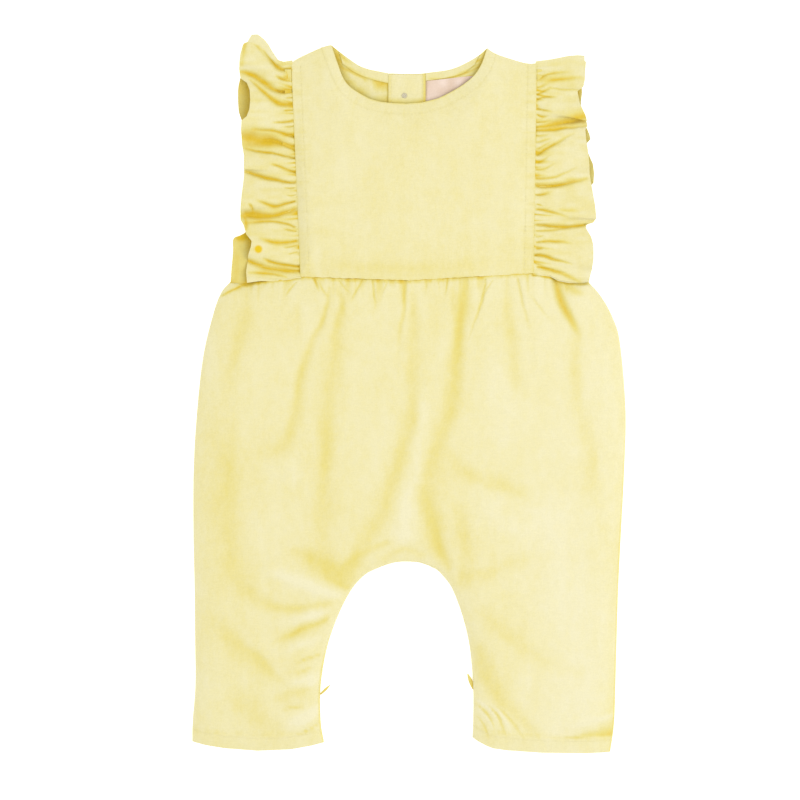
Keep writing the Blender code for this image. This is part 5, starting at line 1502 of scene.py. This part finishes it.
def make_placket():
    z = PLACKET_Z
    left_x, right_x = PLACKET_LEFT - PLACKET_LAP, PLACKET_RIGHT + PLACKET_LAP
    points = strip_points(left_x, right_x, PLACKET_BOTTOM, PLACKET_TOP, z, (24, 90))
    x, y = points[..., 0], points[..., 1]
    points[..., 2] += 0.10 * mottle(x, y, 9.0, 131)
    shade = 0.55 * bell(x - PLACKET_RIGHT, 1.3) + 0.32 * bell(x - PLACKET_LEFT, 0.8)
    lines = []
    for x_at in (PLACKET_LEFT + EDGE_STITCH, PLACKET_RIGHT - EDGE_STITCH):
        groove = bell(x - x_at, 0.6)
        points[..., 2] -= GROOVE * groove
        shade = shade + 0.10 * groove
        ys = np.linspace(PLACKET_TOP - 1.8, PLACKET_BOTTOM + 1.4, 60)
        lines.append(np.array([[x_at, y_at, z] for y_at in ys]))
    piece = cloth_mesh("back_placket_cloth", points, CLOTH, YELLOW, shade)
    dress(piece, "back_placket")
    sew("placket_stitches", lines, THREAD, lift=0.12)


def make_snaps():
    for number, y in enumerate(SNAP_YS, start=1):
        cap = bmesh.new()
        verts = [cap.verts.new((radius, 0.0, height)) for radius, height in SNAP_PROFILE]
        edges = [cap.edges.new(pair) for pair in zip(verts, verts[1:])]
        bmesh.ops.spin(
            cap, geom=verts + edges, axis=(0, 0, 1), cent=(0, 0, 0),
            angle=2.0 * math.pi, steps=SNAP_SIDES, use_merge=True,
        )
        bmesh.ops.remove_doubles(cap, verts=cap.verts[:], dist=0.001)
        rim = [edge for edge in cap.edges if edge.is_boundary]
        bmesh.ops.holes_fill(cap, edges=rim, sides=0)
        bmesh.ops.recalc_face_normals(cap, faces=cap.faces[:])
        for vert in cap.verts:
            vert.co = (vert.co + Vector((SNAP_X, y, PLACKET_Z + SNAP_LIFT))) * MM
        mesh = bpy.data.meshes.new(f"back_snap_{number}_cap")
        cap.to_mesh(mesh)
        cap.free()
        mesh.materials.append(SNAP)
        mesh.shade_smooth()
        dress(add_object(mesh.name, mesh), f"back_snap_{number}", slot="snap_grey")


def make_label():
    z = LABEL_Z
    points = strip_points(
        LABEL_X, LABEL_X + LABEL_WIDTH, LABEL_TOP - LABEL_DEPTH, LABEL_TOP, z, (44, 26), LABEL_SLANT
    )
    x, y = points[..., 0], points[..., 1]
    points[..., 2] += 0.05 + 0.08 * np.sin((x - LABEL_X) / 5.0) + 0.06 * mottle(x, y, 5.0, 141)
    shade = 0.25 + 0.25 * mottle(x, y, 6.0, 142) + 0.4 * bell(x - LABEL_X, 1.2)
    piece = cloth_mesh("neck_label_cloth", points, 0.3, PINK, shade)
    dress(piece, "neck_label", slot="pink_label")
    left = [[LABEL_X + 0.9, y_at, z + 0.15] for y_at in np.linspace(LABEL_TOP - 1, LABEL_TOP - 18, 12)]
    sew("label_stitches", [np.array(left)], THREAD, 2.0, 1.4, 0.2)


TAB_SHADE = 0.6
Tab = namedtuple("Tab", "name root_x root_y tip_x tip_y width")
TABS = [
    Tab("leg_tab_left", -62.2, -210.8, -55.4, -204.2, 1.5),
    Tab("leg_tab_right", 45.4, -207, 41.2, -196.3, 2.7),
]


def make_tabs():
    tabs = []
    for tab in TABS:
        along = np.linspace(0.0, 1.0, 13)
        width = tab.width / 2 * (0.55 + 0.45 * np.sin(along * math.pi)) * (1.0 - 0.5 * along**4)
        dx, dy = tab.tip_x - tab.root_x, tab.tip_y - tab.root_y
        length = math.hypot(dx, dy)
        points = np.zeros((13, 5, 3))
        for i, side in enumerate(np.linspace(-1.0, 1.0, 5)):
            points[:, i, 0] = tab.root_x + dx * along - dy / length * width * side
            points[:, i, 1] = tab.root_y + dy * along + dx / length * width * side
            points[:, i, 2] = 0.5 + 0.25 * (1.0 - side**2) * np.sin(along * math.pi)
        piece = cloth_mesh(tab.name + "_cloth", points, 0.5, YELLOW, TAB_SHADE)
        tabs.append(dress(piece, tab.name))
    return tabs


# ---------------------------------------------------------------- camera, floor and light
VIEW_CENTRE = (-6.3, -4.2)
VIEW_WIDTH = 560.0
LENS, SENSOR = 150.0, 36.0
CLOTH_TOP = 6.0


def make_camera():
    data = bpy.data.cameras.new("view")
    data.lens = LENS
    data.sensor_width = SENSOR
    camera = add_object("view", data)
    distance = VIEW_WIDTH * LENS / SENSOR
    camera.location = Vector((*VIEW_CENTRE, distance + CLOTH_TOP)) * MM
    bpy.context.scene.camera = camera


def area_light(name, place, size, power, colour):
    data = bpy.data.lights.new(name, "AREA")
    data.shape = "SQUARE"
    data.size = size
    data.energy = power
    data.color = colour
    light = add_object(name, data)
    light.location = place
    light.rotation_euler = (-Vector(place)).to_track_quat("-Z", "Y").to_euler()


def make_stage():
    bpy.ops.mesh.primitive_plane_add(size=6.0, location=(0.0, 0.0, -0.0003))
    floor = bpy.context.object
    floor.name = "floor"
    paper = bpy.data.materials.new("white_paper")
    paper.use_nodes = True
    set_inputs(paper.node_tree.nodes["Principled BSDF"], {
        "Base Color": (0.95, 0.95, 0.95, 1.0), "Roughness": 0.95, "Specular IOR Level": 0.0,
        "Emission Color": (1.0, 1.0, 1.0, 1.0), "Emission Strength": 0.45,
    })
    floor.data.materials.append(paper)
    area_light("key", (0.95, 0.05, 1.3), 1.0, 9.5, (1.0, 0.99, 0.97))
    area_light("fill", (-0.9, -0.1, 1.5), 1.6, 6.3, (1.0, 0.99, 0.96))
    world = bpy.data.worlds.new("studio")
    world.use_nodes = True
    sky = {"Color": (1.0, 0.99, 0.96, 1.0), "Strength": 1.08}
    set_inputs(world.node_tree.nodes["Background"], sky)
    bpy.context.scene.world = world
    bpy.context.scene.view_settings.view_transform = "Standard"


make_camera()
make_trouser_front(make_tabs())
make_trouser_back()
YOKE_EDGES = make_yoke_front()
make_backs()
make_side_panels()
make_ruffles(YOKE_EDGES)
make_placket()
make_snaps()
make_label()
shade_folds()
make_stage()
